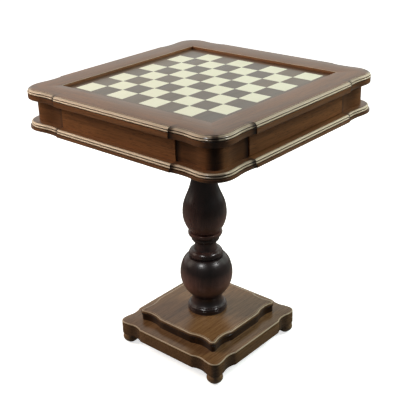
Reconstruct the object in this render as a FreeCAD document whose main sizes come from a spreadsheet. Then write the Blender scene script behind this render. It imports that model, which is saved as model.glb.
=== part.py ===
import FreeCAD, Part

import os
import re

import Sketcher

# Chess table with an inlaid board, a drawer under each player's side and a
# turned pedestal on two wavy plinths.  Millimetres, +Z up.  The origin lies on
# the floor under the centre of the table.  -Y is the front, +X the right.
# The players sit at +X and -X.

SIZES = [
    # board
    ("square_size", 50, "side of one square of the board"),
    ("squares_across", 8, "squares along one side"),
    ("glue_line", 0.1, "gap between neighbouring inlays"),
    ("inlay_thickness", 2, "thickness of the squares and border strips"),
    ("border_width", 21, "width of the plain border round the squares"),
    ("board_panel_thickness", 9, "panel that carries the inlays"),
    ("board_clearance", 0.5, "gap between board panel and frame"),
    ("recess_depth", 7, "playing surface below the top of the frame"),
    # shared wavy plan of the top frame, the lower moulding and the apron
    ("rail_half", 293, "centre to the bead in the middle of a side"),
    ("rail_end", 123, "next side's line to the end of the straight middle"),
    ("rail_step", 2, "how far the moulding steps in at the end of the middle"),
    ("rail_dip_in", 94, "next side's line to the bottom of the dip"),
    ("rail_dip", 4.9, "depth of the dip behind the middle line"),
    ("rail_ear", 1.25, "how far the ear stays behind the middle line"),
    ("rail_corner", 47.75, "corner radius at the bead"),
    ("strip_width", 32, "width of the moulded strip of a rail"),
    ("end_overlap", 1, "length of moulding hidden in the end of the middle"),
    # edge moulding of the top frame, measured in from the bead and down from the top
    ("frame_thickness", 23.5, "thickness of the top frame"),
    ("board_ledge", 12, "width of the ledge under the board panel"),
    ("frame_flat_in", 8, "bead to the fillet step on the top face"),
    ("frame_fillet", 0.8, "height of the fillet step"),
    ("frame_nose_in", 7.2, "bead to the start of the nose"),
    ("frame_slope", 0.1, "fall of the top face from the fillet to the nose"),
    ("frame_nose_radius", 6.5, "radius of the nose"),
    ("frame_cap_in", 1.5, "nose face behind the bead"),
    ("frame_cap_drop", 4.4, "top face to the lower end of the nose"),
    ("frame_quirk_in", 3.6, "depth of the quirks behind the bead"),
    ("frame_bead_drop", 8.25, "top face to the middle of the bead"),
    ("frame_bead_radius", 1.75, "radius of the bead"),
    ("frame_fascia_drop", 11.6, "top face to the fascia"),
    ("frame_fascia_in", 0.5, "fascia behind the bead"),
    ("frame_fascia_round", 2.5, "rounding of the lower edge"),
    # edge moulding of the lower rails, measured the same way
    ("lower_out", 1, "lower fascia in front of the upper bead line"),
    ("lower_thickness", 17.7, "thickness of the lower rails"),
    ("lower_flat_in", 7.3, "fascia to the fillet step"),
    ("lower_fillet", 0.6, "height of the fillet step"),
    ("lower_nose_radius", 3.2, "radius of the nose"),
    ("lower_cap_in", 3.5, "nose face behind the fascia"),
    ("lower_cap_drop", 3.8, "top face to the lower end of the nose"),
    ("lower_quirk_in", 6, "depth of the quirks behind the fascia"),
    ("lower_bead_drop", 8.2, "top face to the middle of the bead"),
    ("lower_bead_radius", 1.75, "radius of the bead"),
    ("lower_bead_in", 2.8, "bead behind the fascia"),
    ("lower_fascia_drop", 11, "top face to the fascia"),
    ("lower_fascia_round", 2.5, "rounding of the lower edge"),
    ("panel_ledge", 11, "width of the ledge under the bottom panel"),
    ("panel_seat_in", 48, "bead line to the seat of the bottom panel"),
    ("panel_thickness", 12, "thickness of the bottom panel"),
    ("panel_clearance", 0.5, "gap round the bottom panel"),
    # loose tongues in the mitres
    ("tongue_thickness", 3, "thickness of the mitre tongues"),
    ("tongue_width", 20, "width of a tongue across the mitre"),
    ("tongue_length", 30, "length of a tongue along the mitre"),
    ("tongue_clearance", 0.2, "gap round a tongue"),
    ("frame_tongue_height", 8, "underside of the frame to the upper tongues"),
    ("lower_tongue_height", 3, "underside of the lower rails to their tongues"),
    # apron
    ("apron_height", 52.5, "height of the apron"),
    ("apron_inset", 20.5, "apron behind the bead line"),
    ("apron_thickness", 20, "thickness of the fixed aprons and drawer fronts"),
    ("apron_joint", 0.2, "gap between an apron and its corner blocks"),
    ("block_thickness", 37, "thickness of the arms of a corner block"),
    ("edge_ease", 0.8, "rounding of the upright edges of the apron and the drawer fronts"),
    ("glue_block_side", 18, "side of the glue blocks"),
    ("glue_block_length", 40, "length of the glue blocks"),
    ("glue_block_at", 110, "middle of the side to the outer glue blocks"),
    # drawers
    ("front_gap", 1, "gap at the ends and the top of a drawer front"),
    ("front_lift", 2, "gap under a drawer front"),
    ("drawer_side_in", 10, "end of a drawer front to the outside of a drawer side"),
    ("drawer_side_thickness", 10, "thickness of the sides and the back"),
    ("drawer_side_height", 32, "height of the sides"),
    ("drawer_back_height", 39.5, "height of the back, which meets the stop"),
    ("drawer_bottom_thickness", 4, "thickness of the drawer bottom"),
    ("drawer_bottom_at", 4, "underside of the side to the bottom panel"),
    ("groove_depth", 4, "depth of the groove that holds the bottom"),
    ("groove_clearance", 0.1, "gap round the bottom in its groove"),
    ("dado_depth", 5, "how far the sides stand in the front"),
    ("lining_thickness", 1, "felt in the drawers"),
    ("finger_radius", 7, "radius of the finger groove under a drawer front"),
    ("finger_length", 120, "length of the finger groove"),
    ("run_clearance", 0.3, "running gap between a drawer and its guides"),
    ("ledge_height", 3, "runner under the drawer sides"),
    ("ledge_width", 11, "width of that runner"),
    ("guide_width", 12, "width of the upright part of a guide"),
    ("guide_height", 30, "height of a guide"),
    ("guide_end_gap", 1.5, "gap between a guide and the corner blocks"),
    ("partition_half", 8, "half the thickness of the bar between the drawers"),
    ("partition_height", 30, "height of that bar"),
    ("stop_height", 12, "height of a drawer stop"),
    ("stop_thickness", 12, "thickness of a drawer stop"),
    # column, heights from the foot of each turned piece
    ("rod_radius", 5, "radius of the tie rod"),
    ("rod_clearance", 0.6, "gap round the tie rod"),
    ("spigot_radius", 16, "radius of the spigot between the turned pieces"),
    ("spigot_length", 18, "length of that spigot"),
    ("spigot_clearance", 0.2, "gap round the spigot"),
    ("ball_length", 152, "length of the lower turned piece"),
    ("foot_ring_radius", 49.9, "radius of the ring at its foot"),
    ("foot_ring_height", 9.5, "height of the ring's upright face"),
    ("foot_ring_quirk", 1, "step above the ring's upright face"),
    ("foot_dome_top", 17, "height of the top of the ring's dome"),
    ("foot_dome_inner", 43.5, "radius at the top of the dome"),
    ("foot_dome_radius", 8, "rounding of the dome"),
    ("low_neck_radius", 37.5, "radius of the neck under the ball"),
    ("low_neck_rise", 17, "dome to the narrowest part of that neck"),
    ("low_neck_arc", 16, "arc radius over the narrowest part"),
    ("ball_radius", 66, "radius of the ball"),
    ("ball_crown", 51, "widest part of the ball to its top"),
    ("ball_upper_arc", 85, "arc radius over the widest part"),
    ("ball_upper_rise", 30, "height of that arc"),
    ("shoulder_radius", 46.5, "radius where the ball ends in its groove"),
    ("ball_groove_height", 1.5, "height of the groove on the shoulder"),
    ("ball_groove_radius", 40.5, "radius at the bottom of the groove"),
    ("vase_length", 340, "length of the upper turned piece"),
    ("saucer_foot", 41.3, "radius of the saucer's underside"),
    ("saucer_radius", 42.8, "radius of the saucer"),
    ("saucer_edge", 4.5, "height of the saucer's edge"),
    ("saucer_edge_arc", 6, "rounding of the saucer's edge"),
    ("saucer_dome", 13, "radius of the saucer's dome"),
    ("waist_radius", 26.9, "radius of the waist"),
    ("waist_at", 31.5, "height of the waist"),
    ("collar_inner", 29, "radius where the collar starts"),
    ("collar_at", 40, "height where the collar starts"),
    ("band_inner", 31.5, "radius of the band's lower edge"),
    ("band_radius", 35.3, "radius of the band's upper edge"),
    ("band_height", 12, "height of the band"),
    ("band_arc", 12, "arc radius of the band"),
    ("collar_quirk_radius", 32.5, "radius of the quirk under the ring"),
    ("collar_quirk_height", 2, "height of that quirk"),
    ("ring_inner", 38.5, "radius of the ring's lower edge"),
    ("ring_radius", 43, "radius of the ring"),
    ("ring_height", 9, "height of the ring"),
    ("ring_arc", 12, "arc radius of the ring"),
    ("ring_lip", 2.5, "height of the lip on the ring"),
    ("ring_lip_in", 0.7, "lip behind the ring"),
    ("belly_radius", 54.6, "radius of the vase's belly"),
    ("belly_at", 116, "height of the belly"),
    ("belly_lower_arc", 75, "arc radius under the belly"),
    ("belly_upper_arc", 105, "arc radius over the belly"),
    ("throat_radius", 25.5, "radius of the vase's throat"),
    ("throat_at", 249, "height of the throat"),
    ("neck_flare_at", 261, "height of the underside of the neck bead"),
    ("neck_flare_radius", 28.5, "radius of the throat under the bead"),
    ("neck_bead_inner", 31, "radius of the edges of the neck bead"),
    ("neck_bead_radius", 6.5, "arc radius of the neck bead"),
    ("neck_bead_height", 12, "height of the neck bead"),
    ("capital_foot_radius", 28, "radius over the neck bead"),
    ("capital_flare_radius", 45, "radius at the top of the flare"),
    ("capital_height", 23, "height of the plain capital"),
    ("capital_radius", 48, "radius of the capital"),
    ("cleat_half", 100, "half the side of the block over the column"),
    ("cleat_thickness", 22, "thickness of that block"),
    ("cleat_bevel", 8, "bevel of its lower edges"),
    # tie rod fastenings
    ("washer_radius", 15, "radius of the washers"),
    ("washer_thickness", 2.5, "thickness of the washers"),
    ("nut_flat", 17, "nut across flats"),
    ("nut_height", 8, "height of a nut"),
    ("rod_end", 1, "rod beyond the nuts"),
    ("counterbore_radius", 17, "hole for washer and nut"),
    ("counterbore_depth", 14, "depth of that hole in the lower plinth"),
    # upper plinth
    ("riser_half", 125.5, "centre to the middle of a side"),
    ("riser_end", 73, "next side's line to the end of the straight middle"),
    ("riser_dip_in", 41.5, "next side's line to the bottom of the dip"),
    ("riser_dip", 7, "depth of the dip"),
    ("riser_ear", 2, "how far the ear stays behind the middle"),
    ("riser_corner", 9, "corner radius"),
    ("riser_thickness", 27, "thickness of the upper plinth"),
    ("riser_band", 14.5, "height of the plain lower band"),
    ("riser_band_in", 2, "lower band behind the edge"),
    ("riser_bead", 3.5, "height of the lower bead"),
    ("riser_bead_in", 0.6, "lower bead behind the edge"),
    ("riser_quirk", 1.5, "height of the quirk between the beads"),
    ("riser_quirk_in", 2.2, "depth of the quirk"),
    ("riser_round", 4.5, "rounding of the top edge"),
    ("riser_bead_round", 1, "rounding of the lower bead"),
    ("riser_flat_in", 6, "edge to the fillet step on the top face"),
    ("riser_fillet", 0.8, "height of the fillet step"),
    # lower plinth
    ("base_half", 163, "centre to the middle of a side"),
    ("base_end", 75.5, "next side's line to the end of the straight middle"),
    ("base_dip_in", 53, "next side's line to the bottom of the dip"),
    ("base_dip", 6, "depth of the dip"),
    ("base_ear", 1, "how far the ear stays behind the middle"),
    ("base_corner", 17, "corner radius"),
    ("base_thickness", 36, "thickness of the lower plinth"),
    ("base_quirk", 1, "height of the fine quirk under the top bead"),
    ("base_quirk_in", 0.8, "depth of that quirk"),
    ("base_bead", 4, "height of the top bead"),
    ("base_round", 2.4, "rounding of the top edge"),
    ("base_lower_round", 1.5, "rounding of the lower edge"),
    # feet
    ("foot_in", 20.5, "edge of the lower plinth to the middle of a foot"),
    ("foot_height", 26, "floor to the lower plinth"),
    ("foot_radius", 20, "radius of a bun foot"),
    ("foot_widest", 14, "height of its widest part"),
    ("foot_top_radius", 15.5, "radius under the plinth"),
    ("foot_bottom_radius", 11.5, "radius at the bottom"),
    ("pad_thickness", 2, "felt pad under a foot"),
    ("pad_radius", 10.5, "radius of the pad"),
    ("tenon_radius", 7, "tenon of a foot"),
    ("tenon_length", 18, "length of that tenon"),
    ("tenon_clearance", 0.2, "gap round the tenon"),
    # screws
    ("screw_radius", 2, "shank of the screws"),
    ("screw_head_radius", 4, "head of the screws"),
    ("screw_clearance", 0.15, "gap round the screws"),
    ("cleat_screw_in", 30, "edge of the cleat to its screws"),
    ("cleat_screw_length", 31, "length of the cleat screws"),
    ("plinth_screw_in", 50.5, "edge of the upper plinth to its screws"),
    ("plinth_screw_length", 50, "length of the plinth screws"),
    ("corner_screw_past", 50, "end of the straight middle on to a corner screw"),
    ("apron_screw_back", 50, "end of the straight middle back to an apron screw"),
    ("rail_screw_length", 40, "length of the rail screws"),
]

# Levels of the stack, from the floor up.
BASE_TOP = "(foot_height + base_thickness)"
RISER_TOP = f"({BASE_TOP} + riser_thickness)"
VASE_FOOT = f"({RISER_TOP} + ball_length)"
COLUMN_TOP = f"({VASE_FOOT} + vase_length)"
PANEL_FOOT = f"({COLUMN_TOP} + cleat_thickness)"
LOWER_TOP = f"({PANEL_FOOT} + panel_thickness)"
LOWER_FOOT = f"({LOWER_TOP} - lower_thickness)"
FRAME_FOOT = f"({LOWER_TOP} + apron_height)"
FRAME_TOP = f"({FRAME_FOOT} + frame_thickness)"
BOARD_TOP = f"({FRAME_TOP} - recess_depth)"
INLAY_FOOT = f"({BOARD_TOP} - inlay_thickness)"
BOARD_FOOT = f"({INLAY_FOOT} - board_panel_thickness)"

FIELD_HALF = "(square_size * squares_across / 2)"
BOARD_HALF = f"({FIELD_HALF} + border_width)"
RECESS_HALF = f"({BOARD_HALF} + board_clearance)"
APRON_FACE = "(rail_half - apron_inset)"
APRON_BACK = f"({APRON_FACE} - apron_thickness)"
RAIL_MIDDLE = "(rail_half - rail_end)"
PANEL_SEAT = "(rail_half - panel_seat_in)"
BLOCK_INNER = f"({APRON_FACE} - block_thickness)"
GUIDE_END = f"({BLOCK_INNER} - guide_end_gap)"
DRAWER_HALF = f"({RAIL_MIDDLE} - front_gap - drawer_side_in)"
RAIL_SCREW_LINE = f"({APRON_FACE} - apron_thickness / 2)"
CORNER_SCREW = f"({RAIL_MIDDLE} + corner_screw_past)"
APRON_SCREW = f"({RAIL_MIDDLE} - apron_screw_back)"
CLEAT_SCREW = "(cleat_half - cleat_screw_in)"
PLINTH_SCREW = "(riser_half - plinth_screw_in)"
FOOT_AT = "(base_half - foot_in)"
ROD_HOLE = "(rod_radius + rod_clearance)"
SCREW_HOLE = "(screw_radius + screw_clearance)"

SIDES = [("front", 0), ("right", 90), ("back", 180), ("left", 270)]

ALIASES = {alias for alias, _, _ in SIZES}
WORD = re.compile(r"[a-z][a-z_]*")

DOC = FreeCAD.newDocument("ChessTable")
PIECES = []


def make_sheet():
    """Write every driving size into the spreadsheet, one row each."""
    sheet = DOC.addObject("Spreadsheet::Sheet", "Sizes")
    for row, (alias, value, meaning) in enumerate(SIZES, start=1):
        sheet.set(f"A{row}", meaning)
        sheet.set(f"B{row}", str(value))
        sheet.setAlias(f"B{row}", alias)
    DOC.recompute()
    return sheet


SHEET = make_sheet()


def bound(expression):
    """Return the expression with each size name pointed at the spreadsheet."""
    def point(match):
        word = match.group()
        return f"Sizes.{word}" if word in ALIASES else word
    return WORD.sub(point, str(expression))


def number(expression):
    """Return the present value of an expression as a plain float."""
    value = SHEET.evalExpression(bound(expression))
    return float(getattr(value, "Value", value))


def bind(item, prop, expression):
    """Drive one property of an object from the spreadsheet."""
    item.setExpression(prop, bound(expression))


def vector(x, y, z="0"):
    """Return the present place of three expressions."""
    return FreeCAD.Vector(number(x), number(y), number(z))


class Profile:
    """Closed line of a sketch: corners joined by straight lines and arcs."""

    def __init__(self, x, y):
        self.corners = [(x, y)]
        self.spans = []

    def line(self, x, y):
        """Draw a straight line to x, y."""
        self.corners.append((x, y))
        self.spans.append(("line", None))
        return self

    def left(self, x, y, radius):
        """Draw an arc to x, y that turns left."""
        self.corners.append((x, y))
        self.spans.append(("left", radius))
        return self

    def right(self, x, y, radius):
        """Draw an arc to x, y that turns right."""
        self.corners.append((x, y))
        self.spans.append(("right", radius))
        return self

    def close(self):
        """Draw a straight line back to the start."""
        self.spans.append(("line", None))
        return self

    def meet(self):
        """Join the last corner to the start, which is the same place."""
        self.corners.pop()
        return self


def arc_between(start, end, radius, turn):
    """Return the arc of at most half a circle from start to end."""
    chord = end - start
    half = chord.Length / 2
    rise = max(radius ** 2 - half ** 2, 0.0) ** 0.5
    across = FreeCAD.Vector(-chord.y, chord.x, 0).normalize()
    if turn == "right":
        across = -across
        start, end = end, start
    centre = (start + end) / 2 + across * rise
    circle = Part.Circle(centre, FreeCAD.Vector(0, 0, 1), radius)
    return Part.ArcOfCircle(circle, circle.parameter(start), circle.parameter(end))


def draw(sketch, profile):
    """Add a profile to a sketch and hold each corner and radius to the sheet."""
    count = len(profile.corners)
    places = [vector(x, y) for x, y in profile.corners]
    shapes = []
    for index, (kind, radius) in enumerate(profile.spans):
        start, end = places[index], places[(index + 1) % count]
        if kind == "line":
            shapes.append(Part.LineSegment(start, end))
        else:
            shapes.append(arc_between(start, end, number(radius), kind))
    ids = sketch.addGeometry(shapes, False)
    heads = [2 if kind == "right" else 1 for kind, _ in profile.spans]
    for index in range(count):
        after = (index + 1) % count
        tail = 3 - heads[index]
        joint = Sketcher.Constraint("Coincident", ids[index], tail, ids[after], heads[after])
        sketch.addConstraint(joint)
    for index, (x, y) in enumerate(profile.corners):
        hold(sketch, "DistanceX", ids[index], heads[index], places[index].x, x)
        hold(sketch, "DistanceY", ids[index], heads[index], places[index].y, y)
    for index, (kind, radius) in enumerate(profile.spans):
        if kind != "line":
            held = sketch.addConstraint(Sketcher.Constraint("Radius", ids[index], number(radius)))
            bind(sketch, f"Constraints[{held}]", radius)


def hold(sketch, kind, item, end, value, expression):
    """Hold one coordinate of a sketch point to an expression."""
    held = sketch.addConstraint(Sketcher.Constraint(kind, -1, 1, item, end, value))
    bind(sketch, f"Constraints[{held}]", expression)


def rectangle(left, bottom, right, top):
    """Return a rectangular profile."""
    return Profile(left, bottom).line(right, bottom).line(right, top).line(left, top).close()


def circle_into(sketch, x, y, radius):
    """Add a circle to a sketch and hold its centre and radius to the sheet."""
    ring = Part.Circle(vector(x, y), FreeCAD.Vector(0, 0, 1), number(radius))
    item = sketch.addGeometry(ring, False)
    hold(sketch, "DistanceX", item, 3, number(x), x)
    hold(sketch, "DistanceY", item, 3, number(y), y)
    held = sketch.addConstraint(Sketcher.Constraint("Radius", item, number(radius)))
    bind(sketch, f"Constraints[{held}]", radius)


class Piece:
    """One sub-part: a PartDesign body that becomes parts/NAME.step."""

    def __init__(self, name, height="0", turn=0):
        self.body = DOC.addObject("PartDesign::Body", name)
        self.body.Label = name
        about_z = FreeCAD.Rotation(FreeCAD.Vector(0, 0, 1), turn)
        self.body.Placement = FreeCAD.Placement(FreeCAD.Vector(), about_z)
        bind(self.body, "Placement.Base.z", height)
        PIECES.append(self.body)

    def sketch(self, plane, profiles, lift="0", right="0", up="0", circles=()):
        """Draw profiles and circles on an origin plane of the body.

        lift moves the sketch along the plane's normal; right and up move its
        origin within the plane.
        """
        sketch = self.body.newObject("Sketcher::SketchObject", "Outline")
        support = [item for item in self.body.Origin.OriginFeatures if item.Role == plane][0]
        sketch.AttachmentSupport = [(support, "")]
        sketch.MapMode = "FlatFace"
        bind(sketch, "AttachmentOffset.Base.x", right)
        bind(sketch, "AttachmentOffset.Base.y", up)
        bind(sketch, "AttachmentOffset.Base.z", lift)
        for profile in profiles:
            draw(sketch, profile)
        for x, y, radius in circles:
            circle_into(sketch, x, y, radius)
        return sketch

    def pad(self, sketch, length, midplane=False):
        """Extrude a sketch along its normal, or both ways from it."""
        pad = self.body.newObject("PartDesign::Pad", "Pad")
        pad.Profile = sketch
        bind(pad, "Length", length)
        if midplane:
            pad.SideType = "Symmetric"
        return pad

    def pocket(self, sketch, depth):
        """Cut a sketch into the body, against the sketch's normal."""
        pocket = self.body.newObject("PartDesign::Pocket", "Pocket")
        pocket.Profile = sketch
        bind(pocket, "Length", depth)
        return pocket

    def revolve(self, sketch, angle="360", reverse=False, kind="Revolution"):
        """Turn a sketch about its upright axis."""
        turned = self.body.newObject(f"PartDesign::{kind}", kind)
        turned.Profile = sketch
        turned.ReferenceAxis = (sketch, ["V_Axis"])
        bind(turned, "Angle", angle)
        turned.Reversed = reverse
        return turned

    def mirror(self, originals):
        """Repeat features on the other side of the middle of the piece."""
        mirror = self.body.newObject("PartDesign::Mirrored", "Mirrored")
        mirror.Originals = originals
        plane = [item for item in self.body.Origin.OriginFeatures if item.Role == "YZ_Plane"][0]
        mirror.MirrorPlane = (plane, [""])
        self.body.Tip = mirror
        return mirror

    def round_polar(self, originals, count):
        """Repeat features about the upright axis of the table."""
        pattern = self.body.newObject("PartDesign::PolarPattern", "PolarPattern")
        pattern.Originals = originals
        axis = [item for item in self.body.Origin.OriginFeatures if item.Role == "Z_Axis"][0]
        pattern.Axis = (axis, [""])
        pattern.Angle = 360
        pattern.Occurrences = count
        self.body.Tip = pattern
        return pattern

    def edges(self, chosen):
        """Return the latest feature and the names of its edges that chosen accepts."""
        DOC.recompute()
        base = self.body.Tip
        names = [f"Edge{index}" for index, edge in enumerate(base.Shape.Edges, start=1) if chosen(edge)]
        return base, names

    def fillet(self, radius, chosen):
        """Round the edges of the latest shape that chosen accepts."""
        chosen_edges = self.edges(chosen)
        fillet = self.body.newObject("PartDesign::Fillet", "Fillet")
        fillet.Base = chosen_edges
        bind(fillet, "Radius", radius)
        return fillet

    def chamfer(self, size, chosen):
        """Bevel the edges of the latest shape that chosen accepts."""
        chosen_edges = self.edges(chosen)
        chamfer = self.body.newObject("PartDesign::Chamfer", "Chamfer")
        chamfer.Base = chosen_edges
        bind(chamfer, "Size", size)
        return chamfer


def at_height(*levels):
    """Return a test for edges that lie flat at one of some heights."""
    def chosen(edge):
        box = edge.BoundBox
        return any(abs(box.ZMin - level) < 1e-4 and abs(box.ZMax - level) < 1e-4 for level in levels)
    return chosen


def upright_at(*places):
    """Return a test for upright edges at some places of the plan."""
    def chosen(edge):
        box = edge.BoundBox
        if box.XLength > 1e-4 or box.YLength > 1e-4:
            return False
        return any(abs(box.XMin - place.x) < 1e-4 and abs(box.YMin - place.y) < 1e-4 for place in places)
    return chosen


def round_face(level):
    """Return a test for the edges of the face that stands square to X at level."""
    def chosen(edge):
        box = edge.BoundBox
        return abs(box.XMin - level) < 1e-4 and abs(box.XMax - level) < 1e-4
    return chosen


def plate(name, left, right, front, back, foot, top, turn=0):
    """Make a rectangular board from its six faces, given by expressions."""
    piece = Piece(name, height=foot, turn=turn)
    outline = piece.sketch("XY_Plane", [rectangle(left, front, right, back)])
    piece.pad(outline, f"({top}) - ({foot})")
    return piece


def cut_box(piece, left, right, front, back, foot, top, base):
    """Cut a rectangular space, given in the table's frame, from a plate on base."""
    outline = piece.sketch("XY_Plane", [rectangle(left, front, right, back)], lift=f"({top}) - ({base})")
    piece.pocket(outline, f"({top}) - ({foot})")


class WavyEdge:
    """Plan of one wavy side, drawn for the front: middle, dip, ear and corner.

    The dip is an arc about a centre outside the table, the ear one about a
    centre inside it, and they and the corner arc are tangent to each other.
    Every method takes how far the line runs behind the outer edge.
    """

    def __init__(self, family):
        self.half = f"{family}_half"
        self.middle = f"({family}_half - {family}_end)"
        self.dip_at = f"({family}_half - {family}_dip_in)"
        self.dip = f"{family}_dip"
        self.ear = f"{family}_ear"
        self.corner = f"{family}_corner"
        step = f"{family}_step" if f"{family}_step" in ALIASES else "0"
        fall = f"({self.dip} - {step})"
        run = f"({family}_end - {family}_dip_in)"
        self.run = run
        self.dip_radius = f"(({run}^2 + {fall}^2) / (2 * {fall}))"
        self.corner_at = f"({self.half} - {self.ear} - {self.corner})"
        along = f"({self.corner_at} - {self.dip_at})"
        rise = f"({self.dip} - {self.ear})"
        both = f"(({along}^2 + {rise}^2) / (2 * {rise}))"
        self.ear_radius = f"({both} - {self.dip_radius})"
        self.turn_sine = f"({along} / {both})"
        self.turn_cosine = f"(1 - {rise} / {both})"
        self.dip_centre = f"({self.half} - {self.dip} + {self.dip_radius})"
        self.corner_tip = f"({self.corner_at} + {self.corner} / sqrt(2))"

    def line_at(self, inset):
        """Return the distance of the middle line from the centre."""
        return f"({self.half} - {inset})"

    def start(self, inset):
        """Return the first point of the dip at the end of the middle."""
        reach = f"sqrt(({self.dip_radius} + {inset})^2 - {self.run}^2)"
        return self.middle, f"({self.dip_centre} - {reach})"

    def kink(self, inset):
        """Return the corner between middle and dip where there is no step."""
        radius = f"({self.dip_radius} + {inset})"
        back = f"sqrt(2 * {radius} * {self.dip} - {self.dip}^2)"
        return f"({self.dip_at} - {back})", self.line_at(inset)

    def join(self, inset):
        """Return the point where dip and ear meet."""
        radius = f"({self.dip_radius} + {inset})"
        x = f"({self.dip_at} + {radius} * {self.turn_sine})"
        return x, f"({self.dip_centre} - {radius} * {self.turn_cosine})"

    def ear_end(self, inset):
        """Return the point where ear and corner meet."""
        return self.corner_at, f"({self.half} - {self.ear} - {inset})"

    def radii(self, inset):
        """Return the arc radii of dip, ear and corner."""
        return (f"({self.dip_radius} + {inset})", f"({self.ear_radius} - {inset})",
                f"({self.corner} - {inset})")


def turned_point(side, along, out):
    """Turn a point of the front side, out from the centre, to another side."""
    return [(along, f"-{out}"), (out, along), (f"-({along})", out), (f"-{out}", f"-({along})")][side]


def wavy_outline(edge, inset):
    """Return the closed plan of a plinth, all four sides."""
    dip_radius, ear_radius, corner_radius = edge.radii(inset)
    kink_along, kink_out = edge.kink(inset)
    join_along, join_out = edge.join(inset)
    ear_along, ear_out = edge.ear_end(inset)
    profile = Profile(*turned_point(0, f"(-{kink_along})", kink_out))
    for side in range(4):
        after = (side + 1) % 4
        profile.line(*turned_point(side, kink_along, kink_out))
        profile.right(*turned_point(side, join_along, join_out), dip_radius)
        profile.left(*turned_point(side, ear_along, ear_out), ear_radius)
        profile.left(*turned_point(after, f"(-{ear_along})", ear_out), corner_radius)
        profile.left(*turned_point(after, f"(-{join_along})", join_out), ear_radius)
        profile.right(*turned_point(after, f"(-{kink_along})", kink_out), dip_radius)
    return profile.meet()


RAIL_EDGE = WavyEdge("rail")


def frame_section(edge):
    """Return the edge moulding of the top frame, with its bead at edge."""
    def at(inward):
        return f"({edge} + {inward})"
    top = "frame_thickness"
    fascia_top = f"({top} - frame_fascia_drop)"
    bead_foot = f"({top} - frame_bead_drop - frame_bead_radius)"
    bead_top = f"({top} - frame_bead_drop + frame_bead_radius)"
    cap_foot = f"({top} - frame_cap_drop)"
    profile = Profile(at("strip_width"), "0")
    profile.line(at("(frame_fascia_in + frame_fascia_round)"), "0")
    profile.right(at("frame_fascia_in"), "frame_fascia_round", "frame_fascia_round")
    profile.line(at("frame_fascia_in"), fascia_top)
    profile.line(at("frame_quirk_in"), fascia_top)
    profile.line(at("frame_quirk_in"), bead_foot)
    profile.line(at("frame_bead_radius"), bead_foot)
    profile.right(at("0"), f"({top} - frame_bead_drop)", "frame_bead_radius")
    profile.right(at("frame_bead_radius"), bead_top, "frame_bead_radius")
    profile.line(at("frame_quirk_in"), bead_top)
    profile.line(at("frame_quirk_in"), cap_foot)
    profile.line(at("frame_cap_in"), cap_foot)
    profile.right(at("frame_nose_in"), f"({top} - frame_fillet - frame_slope)", "frame_nose_radius")
    profile.line(at("frame_flat_in"), f"({top} - frame_fillet)")
    profile.line(at("frame_flat_in"), top)
    return profile.line(at("strip_width"), top).close()


def lower_section(edge):
    """Return the edge moulding of the lower rails, with the bead line at edge."""
    def at(inward):
        return f"({edge} - lower_out + {inward})"
    top = "lower_thickness"
    fascia_top = f"({top} - lower_fascia_drop)"
    bead_foot = f"({top} - lower_bead_drop - lower_bead_radius)"
    bead_top = f"({top} - lower_bead_drop + lower_bead_radius)"
    cap_foot = f"({top} - lower_cap_drop)"
    profile = Profile(at("strip_width"), "0")
    profile.line(at("lower_fascia_round"), "0")
    profile.right(at("0"), "lower_fascia_round", "lower_fascia_round")
    profile.line(at("0"), fascia_top)
    profile.line(at("lower_quirk_in"), fascia_top)
    profile.line(at("lower_quirk_in"), bead_foot)
    profile.line(at("(lower_bead_in + lower_bead_radius)"), bead_foot)
    profile.right(at("lower_bead_in"), f"({top} - lower_bead_drop)", "lower_bead_radius")
    profile.right(at("(lower_bead_in + lower_bead_radius)"), bead_top, "lower_bead_radius")
    profile.line(at("lower_quirk_in"), bead_top)
    profile.line(at("lower_quirk_in"), cap_foot)
    profile.line(at("lower_cap_in"), cap_foot)
    nose_start = "(lower_cap_in + lower_nose_radius)"
    profile.right(at(nose_start), f"({top} - lower_fillet)", "lower_nose_radius")
    profile.line(at("lower_flat_in"), f"({top} - lower_fillet)")
    profile.line(at("lower_flat_in"), top)
    return profile.line(at("strip_width"), top).close()


def moulded_rail(name, turn, foot, thickness, section, inner, flat_in):
    """Make one mitred rail: a flat board with a wavy moulded edge.

    The board runs from the inner line to the middle of the plain part of the
    strip.  The strip's section is extruded along the straight middle and
    turned about the centres of dip, ear and half corner.
    """
    edge = RAIL_EDGE
    piece = Piece(name, height=foot, turn=turn)
    lap = f"((strip_width + {flat_in}) / 2)"
    lap_out = f"({edge.half} - {lap})"
    lap_corner = f"({edge.corner_at} + ({edge.corner} - {lap}) / sqrt(2))"
    board = Profile(f"-{inner}", f"-{inner}").line(inner, f"-{inner}")
    board.line(lap_corner, f"-{lap_corner}").line(edge.corner_at, f"-{lap_out}")
    board.line(f"-{edge.corner_at}", f"-{lap_out}").line(f"-{lap_corner}", f"-{lap_corner}").close()
    piece.pad(piece.sketch("XY_Plane", [board]), thickness)
    middle = piece.sketch("YZ_Plane", [section(f"-{edge.half}")])
    piece.pad(middle, f"2 * {edge.middle}", midplane=True)

    dip = piece.sketch("YZ_Plane", [section(edge.dip_radius)],
                       lift=edge.dip_at, right=f"-{edge.dip_centre}")
    towards_middle = piece.revolve(dip, f"asin(({edge.run} + end_overlap) / {edge.dip_radius})")
    towards_ear = piece.revolve(dip, f"asin({edge.turn_sine})", reverse=True)
    ear_centre = f"({edge.half} - {edge.ear} - {edge.ear_radius})"
    ear_section = piece.sketch("YZ_Plane", [section(f"-{edge.ear_radius}")],
                               lift=edge.corner_at, right=f"-{ear_centre}")
    ear = piece.revolve(ear_section, f"asin({edge.turn_sine})", reverse=True)
    corner_section = piece.sketch("YZ_Plane", [section(f"-{edge.corner}")],
                                  lift=edge.corner_at, right=f"-{edge.corner_at}")
    corner = piece.revolve(corner_section, "45")
    piece.mirror([towards_middle, towards_ear, ear, corner])
    return piece


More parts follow.
